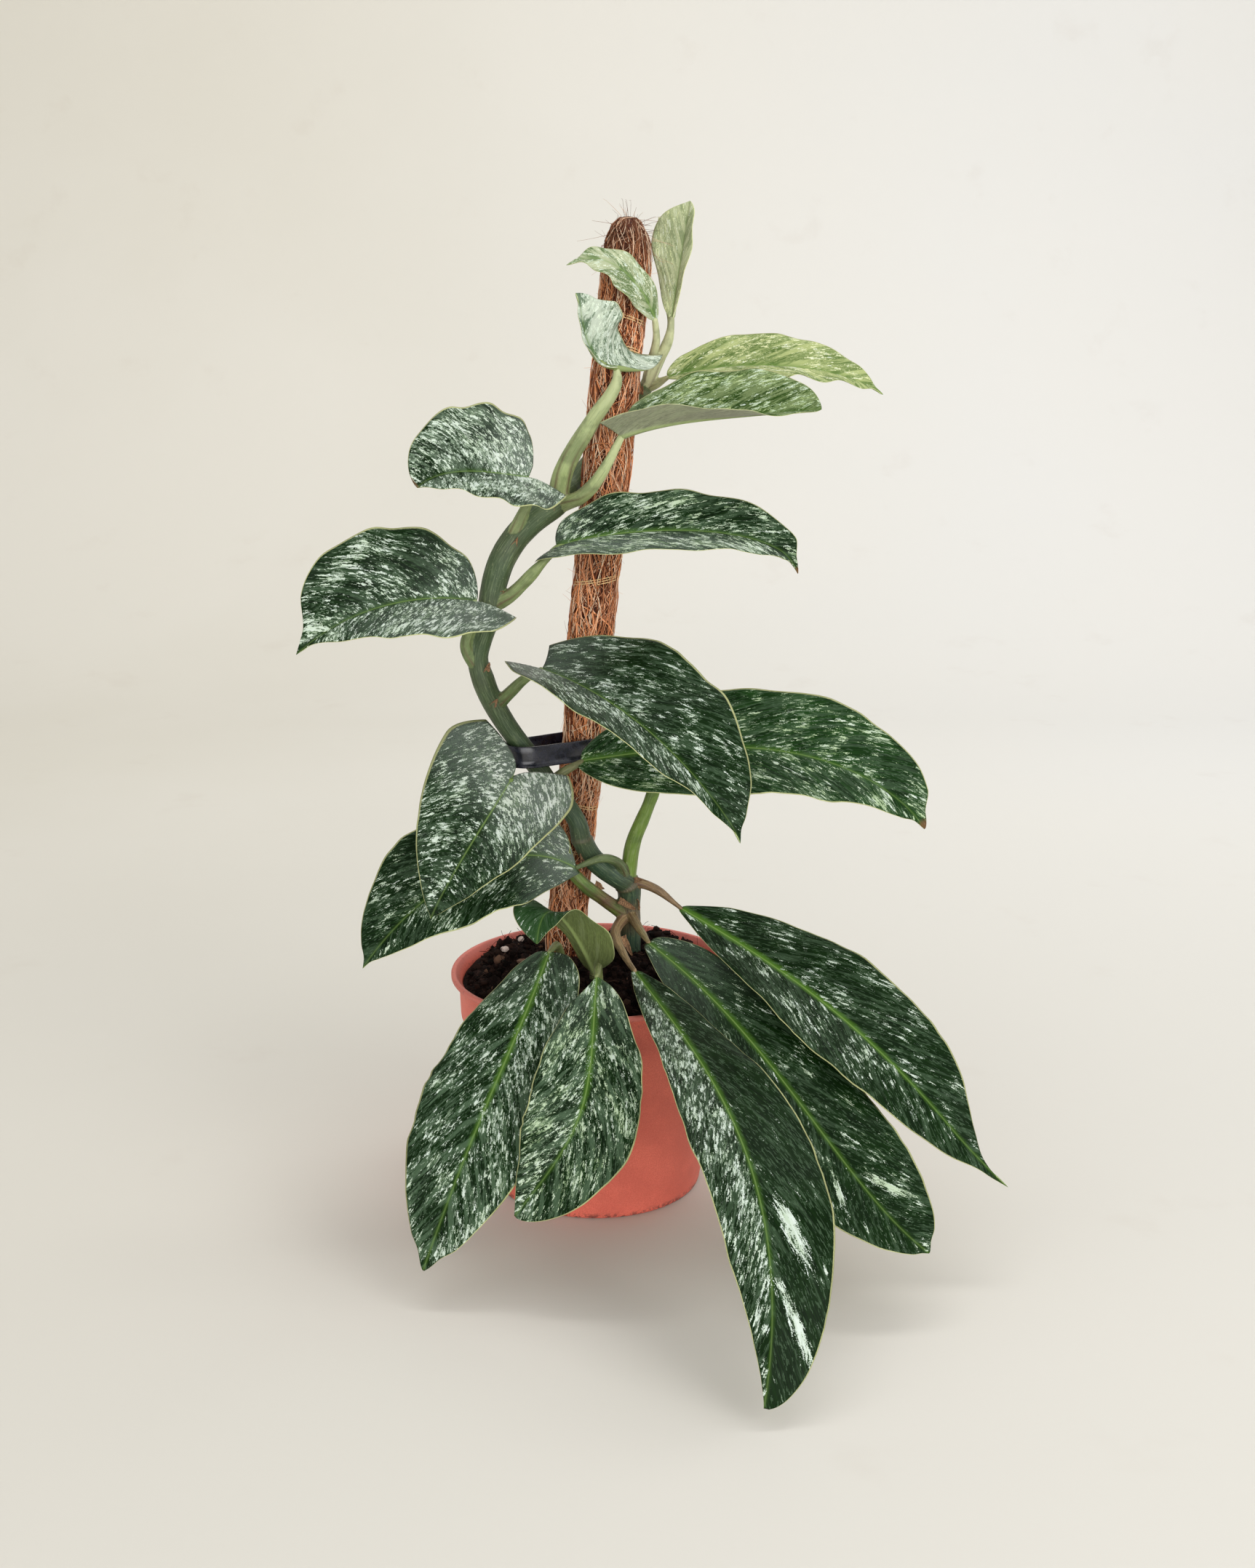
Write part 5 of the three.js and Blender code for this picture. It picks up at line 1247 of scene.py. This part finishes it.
def pebbleForm(detail):
    # rounded many-sided lump of radius 1
    shape = bmesh.new()
    bmesh.ops.create_icosphere(shape, subdivisions=detail, radius=1)
    points = np.array([vertex.co[:] for vertex in shape.verts])
    faces = [[vertex.index for vertex in face.verts] for face in shape.faces]
    shape.free()
    return points, np.array(faces)


def crumbLumps(count):
    form, faces = pebbleForm(1)
    places, sizes, turns, seeds = pickCrumbs(count)
    spots = (form[None] * 1.7 + seeds[:, None, None]).reshape(-1, 3)
    rough = 1 + 0.36 * softNoise(spots, 1.0, 8).reshape(count, -1)
    lumps = form[None] * rough[..., None] * sizes[:, None]
    cosine = np.cos(turns)[:, None]
    sine = np.sin(turns)[:, None]
    spun = np.stack([lumps[..., 0] * cosine - lumps[..., 1] * sine,
                     lumps[..., 0] * sine + lumps[..., 1] * cosine, lumps[..., 2]], axis=-1)
    tones = np.repeat(random.random(count), len(form))
    return (spun + places[:, None]).reshape(-1, 3), copiedFaces(faces, count, len(form)), tones


def pickCrumbs(count):
    # place, three half sizes, turn and noise seed of each crumb
    radius = soil["crumbReach"] * np.sqrt(random.random(count))
    turn = anyTurn(count)
    x = radius * np.cos(turn)
    y = radius * np.sin(turn)
    least, more = soil["crumbSize"]
    size = least + more * random.random(count) ** 2.3
    size = np.minimum(size, (77.6 - radius) / 1.5)
    z = soilHeight(x, y) + soilRough(x, y) + size * 0.25
    sizes = size[:, None] * (0.4 + 0.85 * random.random((count, 3)))
    return np.column_stack([x, y, z]), sizes, random.random(count) * 6.28, np.arange(count) * 3.1


def soilThreads(count):
    # root hairs and strands of peat: paths and thickness
    radius = soil["threadReach"] * np.sqrt(random.random(count))
    turn = anyTurn(count)
    start = np.column_stack([radius * np.cos(turn), radius * np.sin(turn)])
    heading = anyTurn(count)
    length = 3 + 9 * random.random(count)
    step = np.linspace(-0.5, 0.5, soil["threadSteps"])
    bend = (random.random(count) - 0.5) * 2.4
    angle = heading[:, None] + bend[:, None] * step[None]
    x = start[:, :1] + length[:, None] * step[None] * np.cos(angle)
    y = start[:, 1:] + length[:, None] * step[None] * np.sin(angle)
    flatX = x.ravel()
    flatY = y.ravel()
    z = (soilHeight(flatX, flatY) + soilRough(flatX, flatY)).reshape(x.shape)
    standing = np.clip(random.random(count) * 3 - 1.9, 0, 1)[:, None] * length[:, None]
    z = z + 0.5 + random.random(count)[:, None] * 1.2 - 2.0 * step[None] ** 2 + standing * (step[None] + 0.4)
    thick = np.broadcast_to((0.07 + 0.13 * random.random(count))[:, None], x.shape)
    return np.stack([x, y, z], axis=-1), thick


def peatSkin(name):
    g = Graph(name)
    place = g.place()
    lumps = g.noise(place, 0.35, 5, 0.65)
    fine = g.noise(place, 1.9, 4, 0.7)
    g.color = g.mix(g.fit(fine), (7, 4, 4), (32, 21, 18))
    g.over((74, 52, 46), g.fit(lumps, 0.5, 0.66), 0.6)
    g.over((134, 110, 98), g.fit(g.noise(place, 2.7, 2, 0.5), 0.69, 0.75), 0.7)
    normal = g.bump(lumps, 0.0012, 0.8)
    normal = g.bump(fine, 0.0005, 0.8, normal)
    rough = g.fit(fine, start=0.78, end=0.95)
    return g.finish(rough, normal, Specular_IOR_Level=0.08)


def crumbSkin(name):
    g = Graph(name)
    tone = g.value("tone")
    place = g.place()
    fine = g.noise(place, 1.6, 4, 0.7)
    g.color = g.mix(g.fit(tone, 0.1, 0.9), (9, 6, 5), (46, 31, 26))
    g.over((112, 84, 68), g.fit(tone, 0.95, 0.99))
    g.over((72, 52, 44), g.fit(fine, 0.5, 0.7), 0.4)
    normal = g.bump(g.noise(place, 0.7, 5, 0.75), 0.0016, 1.0)
    return g.finish(g.fit(fine, start=0.8, end=0.95), normal, Specular_IOR_Level=0.08)


stands(makePiece("soil_mounded", *makeSoil(), [peatSkin("peat mix")]), "peat_soil", "soil")
crumbMaterial = crumbSkin("peat crumbs")
crumbPoints, crumbFaces, crumbTones = crumbLumps(soil["crumbs"])
stands(makePiece("soil_crumbs", crumbPoints, crumbFaces, [crumbMaterial], values={"tone": crumbTones}),
       "peat_soil")
threadPaths, threadRadius = soilThreads(soil["threads"])
threadPoints, threadFaces = threads(threadPaths, threadRadius)
threadTones = np.repeat(random.random(soil["threads"]) * 0.6 + 0.4, soil["threadSteps"] * 3)
stands(makePiece("soil_threads", threadPoints, threadFaces, [crumbMaterial], values={"tone": threadTones}),
       "peat_soil")


# Pale grains and a splinter of bark on the soil
grains = [
    {"name": "perlite_left", "at": (-55, 17, 135.4), "size": (4.8, 4.2, 3.6), "turn": 0.4},
    {"name": "perlite_right", "at": (-46, 27, 138.3), "size": (4.2, 3.6, 3.4), "turn": 1.3},
]
bark = {"at": (-41, 0, 133.5), "size": (12, 4.2, 2.4), "turn": (0.12, 0.1, 0.35)}


def grainSkin(name):
    g = Graph(name)
    place = g.place()
    pores = g.cellEdges(place, 2.2)
    fine = g.noise(place, 3.0, 4, 0.6)
    g.color = g.mix(g.fit(pores, 0.02, 0.14), (150, 120, 110), (222, 208, 198))
    g.over((190, 160, 148), g.fit(fine, 0.5, 0.7), 0.5)
    normal = g.bump(pores, 0.0006, 0.7)
    return g.finish(g.fit(fine, start=0.75, end=0.95), normal)


def barkSkin(name):
    g = Graph(name)
    grain = g.noise(g.scaled(g.place(), 0.5, 2.6, 2.6), 0.6, 5, 0.65)
    g.color = g.mix(g.fit(grain), (64, 42, 32), (130, 94, 70))
    return g.finish(g.fit(grain, start=0.7, end=0.9), g.bump(grain, 0.001, 0.8))


perliteMaterial = grainSkin("perlite")
form, faces = pebbleForm(4)
for index, grain in enumerate(grains):
    rough = 1 + 0.13 * softNoise(form, 0.55, index) + 0.05 * softNoise(form, 0.22, index + 5)
    spun = np.array(Euler((0, 0, grain["turn"])).to_matrix())
    points = (form * rough[:, None] * np.array(grain["size"]) / 2) @ spun.T + np.array(grain["at"])
    piece = makePiece(grain["name"] + "_grain", points, faces, [perliteMaterial])
    stands(piece, "perlite", grain["name"])
boxy = np.sign(form) * np.abs(form) ** 0.62
split = boxy * np.array(bark["size"]) / 2 * (1 - 0.2 * np.clip(boxy[:, :1], 0, 1))
split = split + 0.18 * softNoise(split * np.array([0.35, 1, 1]), 0.8, 4)[:, None] * unit(form)
spun = np.array(Euler(bark["turn"]).to_matrix())
points = split @ spun.T + np.array(bark["at"])
stands(makePiece("bark_splinter", points, faces, [barkSkin("bark chip")]), "bark", "bark_chip")
print("soil and grains laid")


# Coir pole: a core under a tangle of coir fibres, a few bound round it and a few loose
coir = {
    "path": [
        (-29, 20, 30, 11), (-19, 16, 138, 11), (-16.8, 16, 166, 10.5), (-13, 15, 203, 10.9),
        (-9.7, 14, 236, 11.5), (-6.9, 13, 266, 11.2), (-2.8, 10, 326, 12), (1.5, 9, 367, 12.3),
        (7, 7, 423, 12.8), (12.5, 5, 478, 12.6), (17.4, 3, 527, 12.7), (18, 2.6, 536, 11.9),
        (18.3, 2.3, 544, 9.2), (18.5, 2.1, 549, 5.4), (18.6, 2.0, 551.0, 1.2)],
    "coreSink": 1.3,        # mm that the core lies under the fibres
    "coreSides": 110,
    "rounding": 16,         # mm below the top where the core's rings crowd together
    "steps": 8,             # points along a fibre
    "fibres": 2900,
    "fibresFrom": 105.0,    # mm up the pole, down in the soil
    "wisps": 420,
    "wispsFrom": 120,
    "wispsAtTop": 0.14,     # share of the wisps that stand at the top
    # height and slope of the strands that bind the pole
    "ties": [(497, 0.28), (479, 0.34), (386, 0.2), (355, 0.3), (226, 0.25), (200, 0.3)],
    "tieTurns": 2.15,
    "tieDraw": 0.7,         # how far they draw it in, mm
    "tieSteps": 90,
    "tieSides": 5,
}


def poleTables():
    # the pole's middle line, radii and side vectors for every millimetre of its length
    rows = np.array(coir["path"], dtype=float)
    lengths = distances(rows[:, :3])
    dense = np.arange(0, lengths[-1], 1.0)
    centres = between(dense, lengths, rows[:, :3])
    soft = np.ones(25) / 25
    padded = np.vstack([np.repeat(centres[:1], 12, 0), centres, np.repeat(centres[-1:], 12, 0)])
    smooth = np.column_stack([np.convolve(padded[:, axis], soft, "valid") for axis in range(3)])
    blend = np.clip((lengths[-1] - dense) / 40, 0, 1)[:, None]
    centres = smooth * blend + centres * (1 - blend)
    radii = np.interp(dense, lengths, rows[:, 3])
    for height, _ in coir["ties"]:
        radii = radii - coir["tieDraw"] * np.exp(-((centres[:, 2] - height) / 5.0) ** 2)
    radii = radii + 0.35 * softNoise(np.column_stack([dense, dense * 0, dense * 0]), 22, 4)
    along = tangents(centres)
    across, up = crossFrames(along)
    return dense, centres, radii, across, up


def onPole(tables, spot, angle, height):
    # places so far along the pole, round it and above its surface
    dense, centres, radii, across, up = tables
    radius = np.interp(spot, dense, radii) + height
    ring = (between(spot, dense, across) * np.cos(angle)[..., None]
            + between(spot, dense, up) * np.sin(angle)[..., None])
    return between(spot, dense, centres) + radius[..., None] * ring


def makeCoirCore(tables):
    total = tables[0][-1]
    low = total - coir["rounding"]
    spots = np.concatenate([np.linspace(0, low, 420), low + coir["rounding"] * np.linspace(0.06, 1, 22)])
    spot, turn = [part.ravel() for part in np.meshgrid(spots, fullTurn(coir["coreSides"]), indexing="ij")]
    base = onPole(tables, spot, turn, np.zeros(spot.size))
    lumps = 0.7 * softNoise(base, 6, 1) + 0.45 * softNoise(base * np.array([1, 1, 0.6]), 2.2, 2)
    fade = np.clip((total - spot) / 10, 0.1, 1)
    points = onPole(tables, spot, turn, (lumps - coir["coreSink"]) * fade)
    return closedRings(points, len(spots), coir["coreSides"], tables[1][0], tables[1][-1] + [0, 0, 0.3])


def coirFibres(tables):
    # paths, thickness and tones
    count = coir["fibres"]
    total = tables[0][-1]
    seen = coir["fibresFrom"]
    start = seen + (total - seen + 6) * random.random(count)
    angle = anyTurn(count)
    pitch = np.radians(random.normal(0, 15, count) + np.where(random.random(count) < 0.7, 5, -12))
    length = 18 + 50 * random.random(count)
    step = np.linspace(-0.5, 0.5, coir["steps"])[None]
    curve = random.normal(0, 0.7, (count, 1))
    wander = random.normal(0, 0.8, (count, 1)) * np.sin(step * 7 + random.random((count, 1)) * 6)
    heading = pitch[:, None] + curve * step
    spot = start[:, None] + length[:, None] * step * np.cos(heading)
    turn = angle[:, None] + (length[:, None] * step * np.sin(heading) + wander) / 11.5
    lift = random.random((count, 1)) ** 1.5 * 1.5 - 0.45
    ends = np.abs(step) * 2
    height = lift + 0.35 * np.sin(step * 9 + random.random((count, 1)) * 6) - 0.5 * ends ** 4
    spot = np.clip(spot, 0, total - 0.5)
    paths = onPole(tables, spot, turn, height)
    radius = (0.15 + 0.27 * random.random((count, 1)) ** 1.8) * (1 - 0.5 * ends ** 3)
    return paths, radius, random.random(count)


def coirWisps(tables):
    # fibre ends that stand off the pole, longer at its top
    count = coir["wisps"]
    total = tables[0][-1]
    spot = coir["wispsFrom"] + (total - 2 - coir["wispsFrom"]) * random.random(count)
    nearTop = random.random(count) < coir["wispsAtTop"]
    spot[nearTop] = total - 1 - 12 * random.random(nearTop.sum())
    angle = anyTurn(count)
    reach = 1.2 + 6.5 * random.random(count) ** 2.2
    reach[nearTop] = 3 + 17 * random.random(nearTop.sum()) ** 2
    drift = random.normal(0, 9, count)
    turn = random.normal(0, 0.5, count)
    step = np.linspace(0, 1, coir["steps"])[None]
    spots = np.clip(spot[:, None] + drift[:, None] * step, 0, total)
    over = np.maximum(spot[:, None] + np.abs(drift[:, None]) * step - total, 0)
    height = reach[:, None] * step ** 1.7 - 0.4
    paths = onPole(tables, spots, angle[:, None] + turn[:, None] * step, height)
    paths[..., 2] += np.minimum(over, 9)
    radius = (0.09 + 0.07 * random.random((count, 1))) * (1 - 0.6 * step)
    return paths, radius, random.random(count)


def coirTies(tables):
    # pale straw strands wound round the pole
    paths = []
    turns = np.linspace(0, coir["tieTurns"] * 2 * math.pi, coir["tieSteps"])
    for height, slope in coir["ties"]:
        spot = np.interp(height, tables[1][:, 2], tables[0])
        level = spot + slope * 11 * np.sin(turns) + turns * 0.22
        paths.append(onPole(tables, level, turns + height, 0.75 + 0.2 * np.sin(turns * 3.3)))
    return np.stack(paths), 0.3, np.full(len(paths), 2.0)


def coirSkin(name, ofStrand):
    g = Graph(name)
    place = g.place()
    fine = g.noise(place, 1.2, 4, 0.65)
    patches = g.noise(place, 0.06, 3, 0.5)
    if ofStrand:
        tone = g.value("tone")
        g.color = g.mix(g.fit(tone, 0.1, 0.6), (106, 48, 22), (252, 166, 110))
        g.over((255, 224, 192), g.fit(tone, 0.55, 0.95))
        g.over((190, 130, 98), g.fit(patches, 0.42, 0.62), 0.3)
        # darker towards the top of the pole
        g.over((78, 40, 23), g.fit(g.split(place)[2], 500, 545), g.fit(tone, 0.95, 0.6, 0.25, 0.8))
        g.over((226, 190, 138), g.fit(tone, 1.4, 1.8))
    else:
        # the core is coir's own brown, darkened further as painted shade for the gaps between the fibres
        g.color = g.mix(g.fit(fine), (34, 14, 7), (94, 47, 26))
        g.over((96, 56, 38), g.fit(patches, 0.42, 0.62), 0.4)
    normal = g.bump(g.noise(g.scaled(place, 2.2, 2.2, 0.8), 1.0, 4, 0.7), 0.0006, 0.7)
    return g.finish(g.fit(fine, start=0.7, end=0.9), normal, Specular_IOR_Level=0.3)


tables = poleTables()
stands(makePiece("coir_core", *makeCoirCore(tables), [coirSkin("coir core", False)]), "coir", "coir_pole")
fibreMaterial = coirSkin("coir fibres", True)
for name, (paths, radius, tones), sides in (
        ("coir_fibres", coirFibres(tables), 3), ("coir_wisps", coirWisps(tables), 3),
        ("coir_ties", coirTies(tables), coir["tieSides"])):
    points, faces = threads(paths, np.broadcast_to(radius, paths.shape[:2]), sides)
    tones = np.repeat(tones, paths.shape[1] * sides)
    stands(makePiece(name, points, faces, [fibreMaterial], values={"tone": tones}), "coir")
print("coir pole wound")


# Clip: glossy band round pole and stem, with a thicker foot edge
clip = {
    "bottom": 254.5, "height": 12, "wall": 1.5,
    "poleCentre": (-7.4, 13.4), "poleInside": 12.6,
    "stemCentre": (-39, -9.2), "stemInside": 11.3,
    "steps": 48,            # points of each round end
    "sides": 180,           # points of the whole outline
}


def clipOutline(grow):
    poleRadius = clip["poleInside"] + grow
    stemRadius = clip["stemInside"] + grow
    dx = clip["stemCentre"][0] - clip["poleCentre"][0]
    dy = clip["stemCentre"][1] - clip["poleCentre"][1]
    heading = math.atan2(dy, dx)
    opening = math.acos((poleRadius - stemRadius) / math.hypot(dx, dy))
    first = np.linspace(heading + opening, heading + 2 * math.pi - opening, clip["steps"])
    second = np.linspace(heading - opening, heading + opening, clip["steps"])
    around = lambda centre, radius, angle: np.column_stack([
        centre[0] + radius * np.cos(angle), centre[1] + radius * np.sin(angle)])
    outline = np.vstack([around(clip["poleCentre"], poleRadius, first),
                         around(clip["stemCentre"], stemRadius, second)])
    # points at even distances, so the straight runs have some too
    loop = np.vstack([outline, outline[:1]])
    spots = distances(loop)
    even = np.linspace(0, spots[-1], clip["sides"], endpoint=False)
    return between(even, spots, loop)


def makeClip():
    foot = clip["bottom"]
    top = foot + clip["height"]
    wall = clip["wall"]
    profile = [
        (0.25, foot), (wall + 0.45, foot), (wall + 0.7, foot + 0.25), (wall + 0.7, foot + 0.95),
        (wall + 0.45, foot + 1.3), (wall, foot + 1.7), (wall, foot + 4.0), (wall, foot + 8.0),
        (wall, top - 0.5), (wall - 0.15, top - 0.15), (wall - 0.5, top), (0.45, top),
        (0.12, top - 0.12), (0.0, top - 0.5), (0.0, foot + 0.3)]
    sides = clip["sides"]
    points = np.vstack([np.column_stack([clipOutline(grow), np.full(sides, high)]) for grow, high in profile])
    # a row more than there are rings joins the last ring to the first
    return points, gridFaces(len(profile) + 1, sides, wrap=True) % len(points)


def clipSkin(name):
    g = Graph(name)
    place = g.place()
    smear = g.noise(place, 0.25, 4, 0.6)
    fine = g.noise(place, 3.5, 2, 0.5)
    g.color = g.mix(g.fit(smear, 0.35, 0.65), (12, 13, 24), (26, 28, 44))
    g.over((90, 70, 60), g.fit(g.noise(place, 1.4, 2, 0.5), 0.70, 0.74, 0.0, 0.5))
    rough = g.fit(smear, start=0.16, end=0.34)
    return g.finish(rough, g.bump(fine, 0.00008, 0.5), Specular_IOR_Level=0.6)


stands(makePiece("clip_band", *makeClip(), [clipSkin("dark clip plastic")]), "dark_clip", "pole_clip")
print("clip closed")


# Studio: a pale floor that rises into a backdrop, and soft lights
studio = {
    "floorReach": 6.0, "backAt": 2.6, "bend": 1.2, "high": 4.5,
    "skyStrength": 0.58,
    "lights": [
        # name, place, aim, size, power, colour
        ("overhead", (0.1, -1.0, 2.7), (0, -0.1, 0.1), (5.0, 3.6), 9, (1.0, 0.995, 0.985)),
        ("backKey", (1.0, 0.8, 1.8), (0, 0, 0.2), (1.0, 1.0), 5, (1.0, 0.995, 0.98)),
        ("rightFill", (1.7, -1.7, 1.5), (0, 0, 0.25), (1.4, 1.4), 20, (1.0, 0.995, 0.98)),
        ("leftFill", (-2.0, -1.6, 1.2), (0, 0, 0.25), (1.6, 1.6), 2.5, (1.0, 0.995, 0.985)),
        ("frontFill", (0.4, -2.4, 0.62), (0, 0, 0.15), (3.2, 1.2), 43, (1.0, 0.995, 0.985)),
        ("backdropWash", (0.2, 0.4, 3.6), (0.2, 2.6, 1.3), (3.0, 1.0), 41, (1.0, 0.998, 0.99)),
    ],
}


def makeSweep():
    reach = studio["floorReach"]
    bend = studio["bend"]
    bendAt = studio["backAt"] - bend
    line = [(-reach, 0.0), (-2.0, 0.0), (0.0, 0.0), (bendAt, 0.0)]
    for turn in np.linspace(0, math.pi / 2, 14)[1:]:
        line.append((bendAt + bend * math.sin(turn), bend * (1 - math.cos(turn))))
    line.append((studio["backAt"], studio["high"]))
    widths = (-reach, -2.0, 0.0, 2.0, reach)
    points = np.array([(x, y, z - 0.00005) for y, z in line for x in widths]) / mm
    return points, gridFaces(len(line), len(widths))


def sweepPaper(name):
    g = Graph(name)
    place = g.scaled(g.place(), 0.001, 0.001, 0.001)
    x, y, _ = g.split(place)
    cloud = g.noise(place, 1.3, 4, 0.5)
    # painted light: the paper darker and warmer to the left, lighter to the right
    g.color = g.mix(g.fit(x, -0.9, 1.1), (215, 211, 200), (225, 224, 221))
    g.over((226, 223, 216), g.fit(cloud, 0.35, 0.65), 0.3)
    # painted shade: the floor greyer towards the front, the backdrop untouched
    g.over((196, 193, 184), g.fit(y, 1.2, 0.0, 0.0, 0.4))
    grain = g.noise(place, 260, 2, 0.5)
    g.over((170, 150, 130), g.fit(g.noise(place, 9, 4, 0.6), 0.60, 0.75, 0.0, 0.06))
    rough = g.fit(cloud, start=0.75, end=0.9)
    return g.finish(rough, g.bump(grain, 0.0002, 0.2), Specular_IOR_Level=0.1)


sweep = makePiece("floor_sweep", *makeSweep(), [sweepPaper("backdrop paper")])
world = bpy.data.worlds.new("studio")
world.use_nodes = True
background = world.node_tree.nodes["Background"]
background.inputs["Color"].default_value = (1.0, 0.995, 0.985, 1.0)
background.inputs["Strength"].default_value = studio["skyStrength"]
bpy.context.scene.world = world
for name, place, aim, size, power, color in studio["lights"]:
    lamp = bpy.data.lights.new(name, "AREA")
    lamp.shape = "RECTANGLE"
    lamp.size, lamp.size_y = size
    lamp.energy = power
    lamp.color = color
    holder = bpy.data.objects.new(name, lamp)
    holder.location = place
    heading = Vector(aim) - Vector(place)
    holder.rotation_euler = heading.to_track_quat("-Z", "Y").to_euler()
    bpy.context.scene.collection.objects.link(holder)
bpy.context.scene.view_settings.view_transform = "Standard"
print("studio lit")
